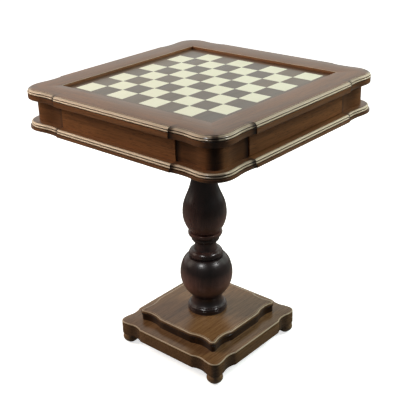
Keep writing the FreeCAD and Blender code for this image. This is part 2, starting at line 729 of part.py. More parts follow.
def rebate(piece, inner, foot, thickness):
    """Cut the step that a panel lies in from the inner edge of a rail."""
    reach = RAIL_EDGE.half
    outline = piece.sketch("XY_Plane", [rectangle(f"-{reach}", f"-{inner}", reach, "0")], lift=thickness)
    piece.pocket(outline, f"{thickness} - {foot}")


def mitre_middle(inner):
    """Return how far out, along X and Y, the middle of a mitre lies."""
    return f"(({inner} + {RAIL_EDGE.corner_tip}) / 2)"


def tongue_profiles(centre, gap, both_ends_only):
    """Return the plans of tongues across the mitres, widened by gap all round."""
    half_long = f"((tongue_length / 2 + {gap}) / sqrt(2))"
    half_wide = f"((tongue_width / 2 + {gap}) / sqrt(2))"
    signs = [(1, -1), (-1, -1)] if both_ends_only else [(1, -1), (-1, -1), (-1, 1), (1, 1)]
    plans = []
    for east, north in signs:
        def corner(along, across):
            x = f"{east} * ({centre} + {along} * {half_long} + {across} * {half_wide})"
            y = f"{north} * ({centre} + {along} * {half_long} - {across} * {half_wide})"
            return x, y
        plan = Profile(*corner(1, 1)).line(*corner(1, -1)).line(*corner(-1, -1)).line(*corner(-1, 1))
        plans.append(plan.close())
    return plans


def tongue_slots(piece, centre, height):
    """Cut the slots for the mitre tongues into both ends of a rail."""
    slots = tongue_profiles(centre, "tongue_clearance", True)
    outline = piece.sketch("XY_Plane", slots, lift=f"{height} + tongue_thickness + tongue_clearance")
    piece.pocket(outline, "tongue_thickness + 2 * tongue_clearance")


def tongues(name, centre, height):
    """Make the four loose tongues of one mitred frame."""
    piece = Piece(name, height=height)
    piece.pad(piece.sketch("XY_Plane", tongue_profiles(centre, "0", False)), "tongue_thickness")
    return piece


def screw_holes(piece, places, top, depth):
    """Drill shank holes down from top, in the piece's own heights."""
    circles = [(x, y, SCREW_HOLE) for x, y in places]
    piece.pocket(piece.sketch("XY_Plane", [], lift=top, circles=circles), depth)


def countersinks(piece, places, foot="0"):
    """Cut the cones for screw heads into the underside of a piece."""
    flare = "(screw_head_radius + screw_clearance)"
    deep = f"({flare} - {SCREW_HOLE})"
    for x, y in places:
        cone = Profile("0", foot).line(flare, foot).line(SCREW_HOLE, f"({foot} + {deep})")
        cone.line("0", f"({foot} + {deep})").close()
        sketch = piece.sketch("XZ_Plane", [cone], lift=f"-({y})", right=x)
        piece.revolve(sketch, kind="Groove")


def square_of_places(distance, other=None):
    """Return the four places at plus and minus the distances."""
    other = other or distance
    return [(f"{east}{distance}", f"{north}{other}") for east in ("", "-") for north in ("", "-")]


def screw_set(name, foot, places, length):
    """Make countersunk screws that point up from foot, one solid each."""
    piece = Piece(name, height=foot)
    for x, y in places:
        shank = Profile("0", "0").line("screw_head_radius", "0")
        shank.line("screw_radius", "(screw_head_radius - screw_radius)")
        shank.line("screw_radius", f"({length} - 2 * screw_radius)").line("0", length).close()
        piece.revolve(piece.sketch("XZ_Plane", [shank], lift=f"-({y})", right=x))
    return piece


def build_top_frame():
    """Four moulded rails, mitred at the corners, with a ledge for the board."""
    inner = f"({RECESS_HALF} - board_ledge)"
    for side, turn in SIDES:
        rail = moulded_rail(f"top_rail_{side}", turn, FRAME_FOOT, "frame_thickness",
                            frame_section, inner, "frame_flat_in")
        rebate(rail, RECESS_HALF, f"({BOARD_FOOT} - {FRAME_FOOT})", "frame_thickness")
        tongue_slots(rail, mitre_middle(inner), "frame_tongue_height")
    tongues("top_rail_tongues", mitre_middle(inner), f"{FRAME_FOOT} + frame_tongue_height")


def rail_screw_places(side):
    """Return the screw places of one lower rail, drawn for the front."""
    along = [CORNER_SCREW, f"-{CORNER_SCREW}"]
    if side in ("front", "back"):
        along += [APRON_SCREW, f"-{APRON_SCREW}"]
    return [(place, f"-{RAIL_SCREW_LINE}") for place in along]


def build_lower_frame():
    """Four moulded rails under the apron, with the bottom panel let in."""
    inner = f"({PANEL_SEAT} - panel_ledge)"
    for side, turn in SIDES:
        rail = moulded_rail(f"lower_rail_{side}", turn, LOWER_FOOT, "lower_thickness",
                            lower_section, inner, "lower_flat_in")
        rebate(rail, PANEL_SEAT, f"({PANEL_FOOT} - {LOWER_FOOT})", "lower_thickness")
        tongue_slots(rail, mitre_middle(inner), "lower_tongue_height")
        screw_holes(rail, rail_screw_places(side), "lower_thickness", "lower_thickness")
        countersinks(rail, rail_screw_places(side))
    tongues("lower_rail_tongues", mitre_middle(inner), f"{LOWER_FOOT} + lower_tongue_height")
    edge = f"({PANEL_SEAT} - panel_clearance)"
    panel = plate("bottom_panel", f"-{edge}", edge, f"-{edge}", edge, PANEL_FOOT, LOWER_TOP)
    hole = panel.sketch("XY_Plane", [], lift="panel_thickness", circles=[("0", "0", "counterbore_radius")])
    panel.pocket(hole, "panel_thickness")
    screw_holes(panel, square_of_places(CLEAT_SCREW), "panel_thickness", "panel_thickness")


def build_corner_blocks():
    """Four solid blocks whose outer faces follow the mouldings."""
    edge = RAIL_EDGE
    dip_radius, ear_radius, corner_radius = edge.radii("apron_inset")
    start_along, start_out = edge.start("apron_inset")
    join_along, join_out = edge.join("apron_inset")
    ear_along, ear_out = edge.ear_end("apron_inset")
    names = ["corner_block_front_right", "corner_block_back_right",
             "corner_block_back_left", "corner_block_front_left"]
    for name, (_, turn) in zip(names, SIDES):
        plan = Profile(start_along, f"-{start_out}")
        plan.right(join_along, f"-{join_out}", dip_radius)
        plan.left(ear_along, f"-{ear_out}", ear_radius)
        plan.left(ear_out, f"-{ear_along}", corner_radius)
        plan.left(join_out, f"-{join_along}", ear_radius)
        plan.right(start_out, f"-{start_along}", dip_radius)
        plan.line(BLOCK_INNER, f"-{start_along}")
        plan.line(BLOCK_INNER, f"-{BLOCK_INNER}").line(start_along, f"-{BLOCK_INNER}").close()
        block = Piece(name, height=LOWER_TOP, turn=turn)
        block.pad(block.sketch("XY_Plane", [plan]), "apron_height")
        block.fillet("edge_ease", upright_at(vector(start_along, f"-{start_out}"),
                                             vector(start_out, f"-{start_along}")))
        places = [(CORNER_SCREW, f"-{RAIL_SCREW_LINE}"), (RAIL_SCREW_LINE, f"-{CORNER_SCREW}")]
        depth = "(rail_screw_length - lower_thickness + 1)"
        screw_holes(block, places, depth, depth)


def build_aprons():
    """Fixed aprons at front and back with their glue blocks."""
    end = f"({RAIL_MIDDLE} - apron_joint)"
    for side, turn in (SIDES[0], SIDES[2]):
        apron = plate(f"apron_{side}", f"-{end}", end, f"-{APRON_FACE}", f"-{APRON_BACK}",
                      LOWER_TOP, FRAME_FOOT, turn=turn)
        apron.fillet("edge_ease", upright_at(vector(end, f"-{APRON_FACE}"), vector(f"-{end}", f"-{APRON_FACE}")))
        depth = "(rail_screw_length - lower_thickness + 1)"
        places = [(APRON_SCREW, f"-{RAIL_SCREW_LINE}"), (f"-{APRON_SCREW}", f"-{RAIL_SCREW_LINE}")]
        screw_holes(apron, places, depth, depth)
    blocks = Piece("apron_glue_blocks", height=FRAME_FOOT)
    made = []
    for along in ("-glue_block_at", "0", "glue_block_at"):
        corner = Profile(f"-{APRON_BACK}", "0").line(f"(glue_block_side - {APRON_BACK})", "0")
        corner.line(f"-{APRON_BACK}", "-glue_block_side").close()
        sketch = blocks.sketch("YZ_Plane", [corner], lift=along)
        made.append(blocks.pad(sketch, "glue_block_length", midplane=True))
    blocks.round_polar(made, 2)


def build_board():
    """Board panel, inlaid squares and the border strips round them."""
    plate("board_panel", f"-{BOARD_HALF}", BOARD_HALF, f"-{BOARD_HALF}", BOARD_HALF, BOARD_FOOT, INLAY_FOOT)
    for name, first in (("light_squares", 0), ("dark_squares", 1)):
        squares = Piece(name, height=INLAY_FOOT)
        plans = []
        for row in (0, 1):
            column = (first + row) % 2
            left = f"({column} * square_size - {FIELD_HALF} + glue_line / 2)"
            front = f"({row} * square_size - {FIELD_HALF} + glue_line / 2)"
            side = "(square_size - glue_line)"
            plans.append(rectangle(left, front, f"({left} + {side})", f"({front} + {side})"))
        pair = squares.pad(squares.sketch("XY_Plane", plans), "inlay_thickness")
        repeat_squares(squares, pair)
    outer = f"({BOARD_HALF})"
    inner = f"({FIELD_HALF} + glue_line / 2)"
    cut = "(glue_line / 2)"
    for side, turn in SIDES:
        strip = Piece(f"board_border_{side}", height=INLAY_FOOT, turn=turn)
        plan = Profile(f"-({outer} - {cut})", f"-{outer}").line(f"({outer} - {cut})", f"-{outer}")
        plan.line(f"({inner} - {cut})", f"-{inner}").line(f"-({inner} - {cut})", f"-{inner}").close()
        strip.pad(strip.sketch("XY_Plane", [plan]), "inlay_thickness")


def repeat_squares(piece, pair):
    """Repeat the first two squares of a colour over the whole board."""
    multi = piece.body.newObject("PartDesign::MultiTransform", "Board")
    multi.Originals = [pair]
    steps = []
    for role in ("X_Axis", "Y_Axis"):
        axis = [item for item in piece.body.Origin.OriginFeatures if item.Role == role][0]
        step = piece.body.newObject("PartDesign::LinearPattern", "Repeat")
        step.Direction = (axis, [""])
        bind(step, "Length", "square_size * (squares_across - 2)")
        bind(step, "Occurrences", "squares_across / 2")
        steps.append(step)
    multi.Transformations = steps
    piece.body.Tip = multi


def build_drawer(side, turn):
    """One drawer, drawn for the right side: it slides out along +X."""
    base = f"({LOWER_TOP} + ledge_height + run_clearance)"
    front_foot = f"({LOWER_TOP} + front_lift)"
    front_top = f"({FRAME_FOOT} - front_gap)"
    front_half = f"({RAIL_MIDDLE} - front_gap)"
    back_face = "(partition_half + run_clearance)"
    back_inner = f"({back_face} + drawer_side_thickness)"
    inner_half = f"({DRAWER_HALF} - drawer_side_thickness)"
    side_end = f"({APRON_BACK} + dado_depth)"
    bottom_foot = f"({base} + drawer_bottom_at)"
    bottom_top = f"({bottom_foot} + drawer_bottom_thickness)"
    slot_foot = f"({bottom_foot} - groove_clearance)"
    slot_top = f"({bottom_top} + groove_clearance)"
    slot_half = f"({inner_half} + groove_depth)"
    slot_end = f"({APRON_BACK} + groove_depth)"
    side_top = f"({base} + drawer_side_height)"
    back_slot = f"({back_inner} - groove_depth)"

    front = plate(f"drawer_front_{side}", APRON_BACK, APRON_FACE, f"-{front_half}", front_half,
                  front_foot, front_top, turn=turn)
    front.fillet("edge_ease", round_face(number(APRON_FACE)))
    for sign in ("", "-"):
        near = f"{sign}({inner_half} - groove_clearance)"
        far = f"{sign}({DRAWER_HALF} + groove_clearance)"
        low, high = (far, near) if sign else (near, far)
        cut_box(front, APRON_BACK, side_end, low, high, front_foot,
                f"({side_top} + groove_clearance)", front_foot)
    cut_box(front, APRON_BACK, slot_end, f"-{inner_half}", inner_half, slot_foot, slot_top, front_foot)
    middle = f"({APRON_FACE} - apron_thickness / 2)"
    groove = front.sketch("XZ_Plane", [], circles=[(middle, "0", "finger_radius")])
    finger = front.pocket(groove, "finger_length")
    finger.SideType = "Symmetric"

    for hand, sign in (("front", "-"), ("back", "")):
        near, far = f"{sign}{inner_half}", f"{sign}{DRAWER_HALF}"
        low, high = (far, near) if sign else (near, far)
        wall = plate(f"drawer_{side}_side_{hand}", back_face, side_end, low, high, base, side_top, turn=turn)
        slot = f"{sign}{slot_half}"
        low, high = (slot, near) if sign else (near, slot)
        cut_box(wall, back_slot, side_end, low, high, slot_foot, slot_top, base)
    back = plate(f"drawer_{side}_back", back_face, back_inner, f"-{inner_half}", inner_half,
                 base, f"({base} + drawer_back_height)", turn=turn)
    cut_box(back, back_slot, back_inner, f"-{inner_half}", inner_half, slot_foot, slot_top, base)
    panel_half = f"({slot_half} - groove_clearance)"
    plate(f"drawer_{side}_bottom", f"({back_slot} + groove_clearance)", f"({slot_end} - groove_clearance)",
          f"-{panel_half}", panel_half, bottom_foot, bottom_top, turn=turn)
    felt_half = f"({inner_half} - groove_clearance)"
    plate(f"drawer_{side}_lining", f"({back_inner} + groove_clearance)", f"({APRON_BACK} - groove_clearance)",
          f"-{felt_half}", felt_half, bottom_top, f"({bottom_top} + lining_thickness)", turn=turn)


def build_drawer_guides():
    """Runners at the sides, the bar between the drawers and their stops."""
    inner = f"({DRAWER_HALF} + run_clearance)"
    for side, turn in (SIDES[0], SIDES[2]):
        guide = Piece(f"drawer_guide_{side}", height=LOWER_TOP, turn=turn)
        section = Profile(f"-({inner} + guide_width)", "0").line(f"-({inner} - ledge_width)", "0")
        section.line(f"-({inner} - ledge_width)", "ledge_height").line(f"-{inner}", "ledge_height")
        section.line(f"-{inner}", "guide_height").line(f"-({inner} + guide_width)", "guide_height").close()
        sketch = guide.sketch("YZ_Plane", [section])
        guide.pad(sketch, f"2 * {GUIDE_END}", midplane=True)
    reach = f"({inner} - ledge_width - run_clearance)"
    plate("drawer_partition", "-partition_half", "partition_half", f"-{reach}", reach,
          LOWER_TOP, f"({LOWER_TOP} + partition_height)")
    for side, turn in (SIDES[1], SIDES[3]):
        plate(f"drawer_stop_{side}", f"({GUIDE_END} - stop_thickness)", GUIDE_END, f"-{reach}", reach,
              f"({FRAME_FOOT} - stop_height)", FRAME_FOOT, turn=turn - 90)


def ball_profile():
    """Return the outline of the lower turned piece and its spigot."""
    ball_at = "(ball_length - ball_crown)"
    neck_at = "(foot_dome_top + low_neck_rise)"
    flare = "(foot_dome_inner - low_neck_radius)"
    flare_arc = f"((low_neck_rise^2 + {flare}^2) / (2 * {flare}))"
    rise = f"({ball_at} - {neck_at})"
    swell = "(ball_radius - low_neck_radius)"
    both = f"(({rise}^2 + {swell}^2) / (2 * {swell}))"
    tuck_at = f"({neck_at} + low_neck_arc * {rise} / {both})"
    tuck_radius = f"(low_neck_radius + low_neck_arc * {swell} / {both})"
    upper_sine = "(ball_upper_rise / ball_upper_arc)"
    upper_cosine = f"sqrt(1 - {upper_sine}^2)"
    upper_at = f"({ball_at} + ball_upper_rise)"
    upper_radius = f"(ball_radius - ball_upper_arc * (1 - {upper_cosine}))"
    groove_at = "(ball_length - ball_groove_height)"
    run = f"({groove_at} - {upper_at})"
    fall = f"({upper_radius} - shoulder_radius)"
    shoulder_arc = f"(({run}^2 + {fall}^2) / (2 * ({upper_cosine} * {fall} - {upper_sine} * {run})))"
    spigot_top = "(ball_length + spigot_length)"
    line = Profile(ROD_HOLE, "0").line("foot_ring_radius", "0")
    line.line("foot_ring_radius", "foot_ring_height")
    line.line("(foot_ring_radius - foot_ring_quirk)", "foot_ring_height")
    line.left("foot_dome_inner", "foot_dome_top", "foot_dome_radius")
    line.right("low_neck_radius", neck_at, flare_arc)
    line.right(tuck_radius, tuck_at, "low_neck_arc")
    line.left("ball_radius", ball_at, f"({both} - low_neck_arc)")
    line.left(upper_radius, upper_at, "ball_upper_arc")
    line.left("shoulder_radius", groove_at, shoulder_arc)
    line.line("ball_groove_radius", groove_at).line("ball_groove_radius", "ball_length")
    line.line("spigot_radius", "ball_length").line("spigot_radius", spigot_top)
    return line.line(ROD_HOLE, spigot_top).close()


def vase_profile():
    """Return the outline of the upper turned piece and its socket."""
    socket = "(spigot_radius + spigot_clearance)"
    socket_top = "(spigot_length + 1)"
    dome_top = "(saucer_edge + saucer_dome)"
    dome_radius = "(saucer_radius - saucer_dome)"
    waist_flare = f"({dome_radius} - waist_radius)"
    waist_arc = f"(((waist_at - {dome_top})^2 + {waist_flare}^2) / (2 * {waist_flare}))"
    collar_flare = "(collar_inner - waist_radius)"
    collar_arc = f"(((collar_at - waist_at)^2 + {collar_flare}^2) / (2 * {collar_flare}))"
    band_top = "(collar_at + band_height)"
    ring_foot = f"({band_top} + collar_quirk_height)"
    ring_top = f"({ring_foot} + ring_height)"
    lip_top = f"({ring_top} + ring_lip)"
    crease = (f"(belly_radius - belly_lower_arc + sqrt(belly_lower_arc^2"
              f" - (belly_at - {lip_top})^2))")
    swell = "(belly_radius - throat_radius)"
    length = "(throat_at - belly_at)"
    both = f"(({length}^2 + {swell}^2) / (2 * {swell}))"
    join_at = f"(belly_at + belly_upper_arc * {length} / {both})"
    join_radius = f"(belly_radius - belly_upper_arc * {swell} / {both})"
    throat_flare = "(neck_flare_radius - throat_radius)"
    throat_arc = f"(((neck_flare_at - throat_at)^2 + {throat_flare}^2) / (2 * {throat_flare}))"
    bead_top = "(neck_flare_at + neck_bead_height)"
    capital_foot = "(vase_length - capital_height)"
    capital_flare = "(capital_flare_radius - capital_foot_radius)"
    capital_arc = f"((({capital_foot} - {bead_top})^2 + {capital_flare}^2) / (2 * {capital_flare}))"
    line = Profile(socket, "0").line("saucer_foot", "0")
    line.left("saucer_radius", "saucer_edge", "saucer_edge_arc")
    line.left(dome_radius, dome_top, "saucer_dome")
    line.right("waist_radius", "waist_at", waist_arc)
    line.right("collar_inner", "collar_at", collar_arc)
    line.line("band_inner", "collar_at")
    line.left("band_radius", band_top, "band_arc")
    line.line("collar_quirk_radius", band_top).line("collar_quirk_radius", ring_foot)
    line.line("ring_inner", ring_foot)
    line.left("ring_radius", ring_top, "ring_arc")
    line.line("(ring_radius - ring_lip_in)", lip_top).line(crease, lip_top)
    line.left("belly_radius", "belly_at", "belly_lower_arc")
    line.left(join_radius, join_at, "belly_upper_arc")
    line.right("throat_radius", "throat_at", f"({both} - belly_upper_arc)")
    line.right("neck_flare_radius", "neck_flare_at", throat_arc)
    line.line("neck_bead_inner", "neck_flare_at")
    line.left("neck_bead_inner", bead_top, "neck_bead_radius")
    line.line("capital_foot_radius", bead_top)
    line.right("capital_flare_radius", capital_foot, capital_arc)
    line.line("capital_radius", capital_foot).line("capital_radius", "vase_length")
    line.line(ROD_HOLE, "vase_length").line(ROD_HOLE, socket_top)
    return line.line(socket, socket_top).close()


def build_column():
    """Two turned pieces, the block that carries the box and the tie rod."""
    ball = Piece("column_ball", height=RISER_TOP)
    ball.revolve(ball.sketch("XZ_Plane", [ball_profile()]))
    vase = Piece("column_vase", height=VASE_FOOT)
    vase.revolve(vase.sketch("XZ_Plane", [vase_profile()]))

    cleat = plate("column_cleat", "-cleat_half", "cleat_half", "-cleat_half", "cleat_half",
                  COLUMN_TOP, PANEL_FOOT)
    cleat.chamfer("cleat_bevel", at_height(0))
    hole = cleat.sketch("XY_Plane", [], lift="cleat_thickness", circles=[("0", "0", ROD_HOLE)])
    cleat.pocket(hole, "cleat_thickness")
    screw_holes(cleat, square_of_places(CLEAT_SCREW), "cleat_thickness", "cleat_thickness")
    countersinks(cleat, square_of_places(CLEAT_SCREW))
    screw_set("cleat_screws", COLUMN_TOP, square_of_places(CLEAT_SCREW), "cleat_screw_length")

    rod_foot = "(foot_height + counterbore_depth - washer_thickness - nut_height - rod_end)"
    rod_top = f"({PANEL_FOOT} + washer_thickness + nut_height + rod_end)"
    rod = DOC.addObject("Part::Cylinder", "tie_rod")
    rod.Label = "tie_rod"
    bind(rod, "Radius", "rod_radius")
    bind(rod, "Height", f"{rod_top} - {rod_foot}")
    bind(rod, "Placement.Base.z", rod_foot)
    PIECES.append(rod)

    washers = Piece("tie_rod_washers")
    nuts = Piece("tie_rod_nuts")
    lower_washer = "(foot_height + counterbore_depth - washer_thickness)"
    for washer_foot, nut_foot in ((lower_washer, f"({lower_washer} - nut_height)"),
                                  (PANEL_FOOT, f"({PANEL_FOOT} + washer_thickness)")):
        hole = [("0", "0", "(rod_radius + rod_clearance / 2)")]
        ring = washers.sketch("XY_Plane", [], lift=washer_foot, circles=hole + [("0", "0", "washer_radius")])
        washers.pad(ring, "washer_thickness")
        nut_hole = [("0", "0", "(rod_radius + screw_clearance)")]
        nuts.pad(nuts.sketch("XY_Plane", [hexagon("nut_flat")], lift=nut_foot, circles=nut_hole), "nut_height")


def hexagon(across_flats):
    """Return a regular hexagon with two flats square to X."""
    half = f"({across_flats} / 2)"
    point = f"({across_flats} / sqrt(3))"
    shape = Profile(half, f"-({point} / 2)").line(half, f"({point} / 2)").line("0", point)
    shape.line(f"-{half}", f"({point} / 2)").line(f"-{half}", f"-({point} / 2)").line("0", f"-{point}")
    return shape.close()


def layer(piece, edge, foot, thickness, inset):
    """Add a layer of a plinth: its wavy plan, behind the edge by inset."""
    return piece.pad(piece.sketch("XY_Plane", [wavy_outline(edge, inset)], lift=foot), thickness)


def build_plinths():
    """Upper and lower plinth, the screws between them and the feet."""
    bead_top = "(riser_band + riser_bead)"
    quirk_top = f"({bead_top} + riser_quirk)"
    nose_top = "(riser_thickness - riser_fillet)"
    edge = WavyEdge("riser")
    riser = Piece("upper_plinth", height=BASE_TOP)
    layer(riser, edge, "riser_band", "riser_bead", "riser_bead_in")
    riser.fillet("riser_bead_round", at_height(number("riser_band"), number(bead_top)))
    layer(riser, edge, "0", "riser_band", "riser_band_in")
    layer(riser, edge, bead_top, "riser_quirk", "riser_quirk_in")
    layer(riser, edge, quirk_top, f"{nose_top} - {quirk_top}", "0")
    riser.fillet("riser_round", at_height(number(nose_top)))
    layer(riser, edge, nose_top, "riser_fillet", "riser_flat_in")
    hole = riser.sketch("XY_Plane", [], lift="riser_thickness", circles=[("0", "0", ROD_HOLE)])
    riser.pocket(hole, "riser_thickness")
    screw_depth = "(plinth_screw_length - base_thickness + 1)"
    screw_holes(riser, square_of_places(PLINTH_SCREW), screw_depth, screw_depth)

    bead_foot = "(base_thickness - base_bead)"
    quirk_foot = f"({bead_foot} - base_quirk)"
    edge = WavyEdge("base")
    base = Piece("lower_plinth", height="foot_height")
    layer(base, edge, "0", quirk_foot, "0")
    layer(base, edge, quirk_foot, "base_quirk", "base_quirk_in")
    layer(base, edge, bead_foot, "base_bead", "0")
    base.fillet("base_round", at_height(number("base_thickness")))
    base.fillet("base_lower_round", at_height(0))
    hole = base.sketch("XY_Plane", [], lift="base_thickness", circles=[("0", "0", ROD_HOLE)])
    base.pocket(hole, "base_thickness")
    sink = base.sketch("XY_Plane", [], lift="counterbore_depth", circles=[("0", "0", "counterbore_radius")])
    base.pocket(sink, "counterbore_depth")
    socket_depth = "(tenon_length + 1)"
    sockets = [(x, y, "(tenon_radius + tenon_clearance)") for x, y in square_of_places(FOOT_AT)]
    base.pocket(base.sketch("XY_Plane", [], lift=socket_depth, circles=sockets), socket_depth)
    screw_holes(base, square_of_places(PLINTH_SCREW), "base_thickness", "base_thickness")
    countersinks(base, square_of_places(PLINTH_SCREW))
    screw_set("plinth_screws", "foot_height", square_of_places(PLINTH_SCREW), "plinth_screw_length")


def build_feet():
    """Four bun feet with tenons and the felt pads under them."""
    lower_run = "(foot_widest - pad_thickness)"
    lower_in = "(foot_radius - foot_bottom_radius)"
    lower_arc = f"(({lower_run}^2 + {lower_in}^2) / (2 * {lower_in}))"
    upper_run = "(foot_height - foot_widest)"
    upper_in = "(foot_radius - foot_top_radius)"
    upper_arc = f"(({upper_run}^2 + {upper_in}^2) / (2 * {upper_in}))"
    tenon_top = "(foot_height + tenon_length)"
    for end, north in (("front", "-"), ("back", "")):
        for hand, east in (("left", "-"), ("right", "")):
            foot = Piece(f"foot_{end}_{hand}")
            bind(foot.body, "Placement.Base.x", f"{east}{FOOT_AT}")
            bind(foot.body, "Placement.Base.y", f"{north}{FOOT_AT}")
            bun = Profile("0", "pad_thickness").line("foot_bottom_radius", "pad_thickness")
            bun.left("foot_radius", "foot_widest", lower_arc)
            bun.left("foot_top_radius", "foot_height", upper_arc)
            bun.line("tenon_radius", "foot_height").line("tenon_radius", tenon_top).line("0", tenon_top)
            foot.revolve(foot.sketch("XZ_Plane", [bun.close()]))
    pads = Piece("foot_pads")
    discs = [(x, y, "pad_radius") for x, y in square_of_places(FOOT_AT)]
    pads.pad(pads.sketch("XY_Plane", [], circles=discs), "pad_thickness")


def check_document():
    """Stop if any object failed or any sub-part has no valid solid."""
    for item in DOC.Objects:
        if "Invalid" in item.State or "Error" in item.State:
            raise RuntimeError(f"{item.Name} ({item.Label}) failed: {item.State}")
    for piece in PIECES:
        shape = piece.Shape
        if shape.isNull() or not shape.isValid() or not shape.Solids:
            raise RuntimeError(f"{piece.Label} has no valid solid")


def write_steps():
    """Write each sub-part to parts/NAME.step."""
    os.makedirs("parts", exist_ok=True)
    for piece in PIECES:
        piece.Shape.exportStep(os.path.join("parts", f"{piece.Label}.step"))
        box = piece.Shape.BoundBox
        print(f"{piece.Label}: {len(piece.Shape.Solids)} solids, {piece.Shape.Volume / 1000:.1f} cm3,"
              f" {box.XLength:.1f} x {box.YLength:.1f} x {box.ZLength:.1f}")


build_board()
build_top_frame()
build_corner_blocks()
build_aprons()
build_drawer("right", 0)
build_drawer("left", 180)
build_drawer_guides()
build_lower_frame()
rail_places = []
for rail_side, places in enumerate([rail_screw_places(side) for side, _ in SIDES]):
    for along, _ in places:
        rail_places.append(turned_point(rail_side, along, RAIL_SCREW_LINE))
screw_set("rail_screws", LOWER_FOOT, rail_places, "rail_screw_length")
build_column()
build_plinths()
build_feet()
DOC.recompute()
check_document()
write_steps()
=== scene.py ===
import logging
import math
from dataclasses import dataclass, field, replace
from enum import Enum
from typing import ClassVar

import bpy
import numpy as np
from mathutils import Matrix, Vector


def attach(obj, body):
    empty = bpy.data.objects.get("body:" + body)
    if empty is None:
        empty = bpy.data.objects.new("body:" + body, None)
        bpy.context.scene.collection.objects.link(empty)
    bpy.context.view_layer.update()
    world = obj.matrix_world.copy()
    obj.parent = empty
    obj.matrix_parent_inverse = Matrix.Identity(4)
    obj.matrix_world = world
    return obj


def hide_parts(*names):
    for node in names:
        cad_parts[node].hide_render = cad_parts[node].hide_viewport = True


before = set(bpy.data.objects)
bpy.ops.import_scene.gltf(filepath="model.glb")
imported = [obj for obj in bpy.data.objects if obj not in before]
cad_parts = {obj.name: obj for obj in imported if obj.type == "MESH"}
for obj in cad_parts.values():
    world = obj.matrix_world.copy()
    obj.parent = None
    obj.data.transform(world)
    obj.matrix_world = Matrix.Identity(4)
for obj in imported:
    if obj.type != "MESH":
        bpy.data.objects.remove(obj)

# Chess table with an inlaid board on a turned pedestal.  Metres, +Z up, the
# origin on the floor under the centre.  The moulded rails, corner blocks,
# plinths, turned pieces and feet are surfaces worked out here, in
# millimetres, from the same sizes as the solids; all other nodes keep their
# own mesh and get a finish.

LOG = logging.getLogger("chess_table")
MM = 0.001
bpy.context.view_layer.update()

Point = tuple[float, float, float]
Range = tuple[float, float]
Colour = tuple[float, float, float]
Shade = tuple[tuple[float, float], ...]
Stations = tuple[int, int, int, int]

# Staining and painted shade, in millimetres: how far the darkening reaches
# that gathers at a step (staining and painted shade) and at a mitre (painted
# shade), the insets between which it fades out on the flat of a rail, the
# radius at which an edge counts as a full ridge, and the shortest length over
# which a line is taken to bend.
STAIN_AND_SHADE_REACH = 15.0
STAIN_AND_SHADE_FADE = (6.5, 11.5)
RIDGE_RADIUS = 5.0
SHORTEST_BEND = 0.2

# Radii in millimetres that ease the edges of moulded and turned work.
KEEN, CRISP, EASED, SOFT = 0.2, 0.3, 0.4, 0.5

# Stations along half a side: in its middle, its dip, its ear and its corner.
RAIL_STATIONS = (2, 16, 16, 14)
PLINTH_STATIONS = (6, 14, 14, 10)


# -------------------------------------------------------------------- shapes


class Side(Enum):
    """One of the four sides of the table; the value counts quarter turns from the front."""

    FRONT = 0
    RIGHT = 1
    BACK = 2
    LEFT = 3

    def turned(self, along: np.ndarray, out: np.ndarray) -> tuple[np.ndarray, np.ndarray]:
        """Turn places of the front side to this side.

        Args:
            along: distance along the side, to the right when it is faced.
            out: distance out from the centre.

        Returns:
            The places as X and Y in the table's frame.
        """
        return [(along, -out), (out, along), (-along, out), (-out, -along)][self.value]

    @property
    def word(self) -> str:
        """Return the side's name as the nodes use it."""
        return self.name.lower()


class Grain(Enum):
    """Direction of the wood's fibres: the axes that run along, across and through it."""

    X = "XYZ"
    Y = "YXZ"
    Z = "ZXY"
    WRAPPED = "along the surface"


def rail_grain(side: Side) -> Grain:
    """Return the grain of a board that runs along a side."""
    return Grain.X if side in (Side.FRONT, Side.BACK) else Grain.Y


def flare_radius(run: float, rise: float) -> float:
    """Return the radius of an arc that sets out straight and strays by a rise within a run.

    It is the sum of the squares of run and rise over twice the rise.
    """
    return (run ** 2 + rise ** 2) / (2 * rise)


def mirrored(half: np.ndarray, sign: int = 1) -> np.ndarray:
    """Complete a side from the half that starts in its middle.

    Args:
        half: values at the stations of the half, one row per station.
        sign: -1 for distances along the side, which the other half has negative.

    Returns:
        The values of the whole side, from mitre to mitre.
    """
    return np.concatenate([sign * half[::-1], half[1:]])


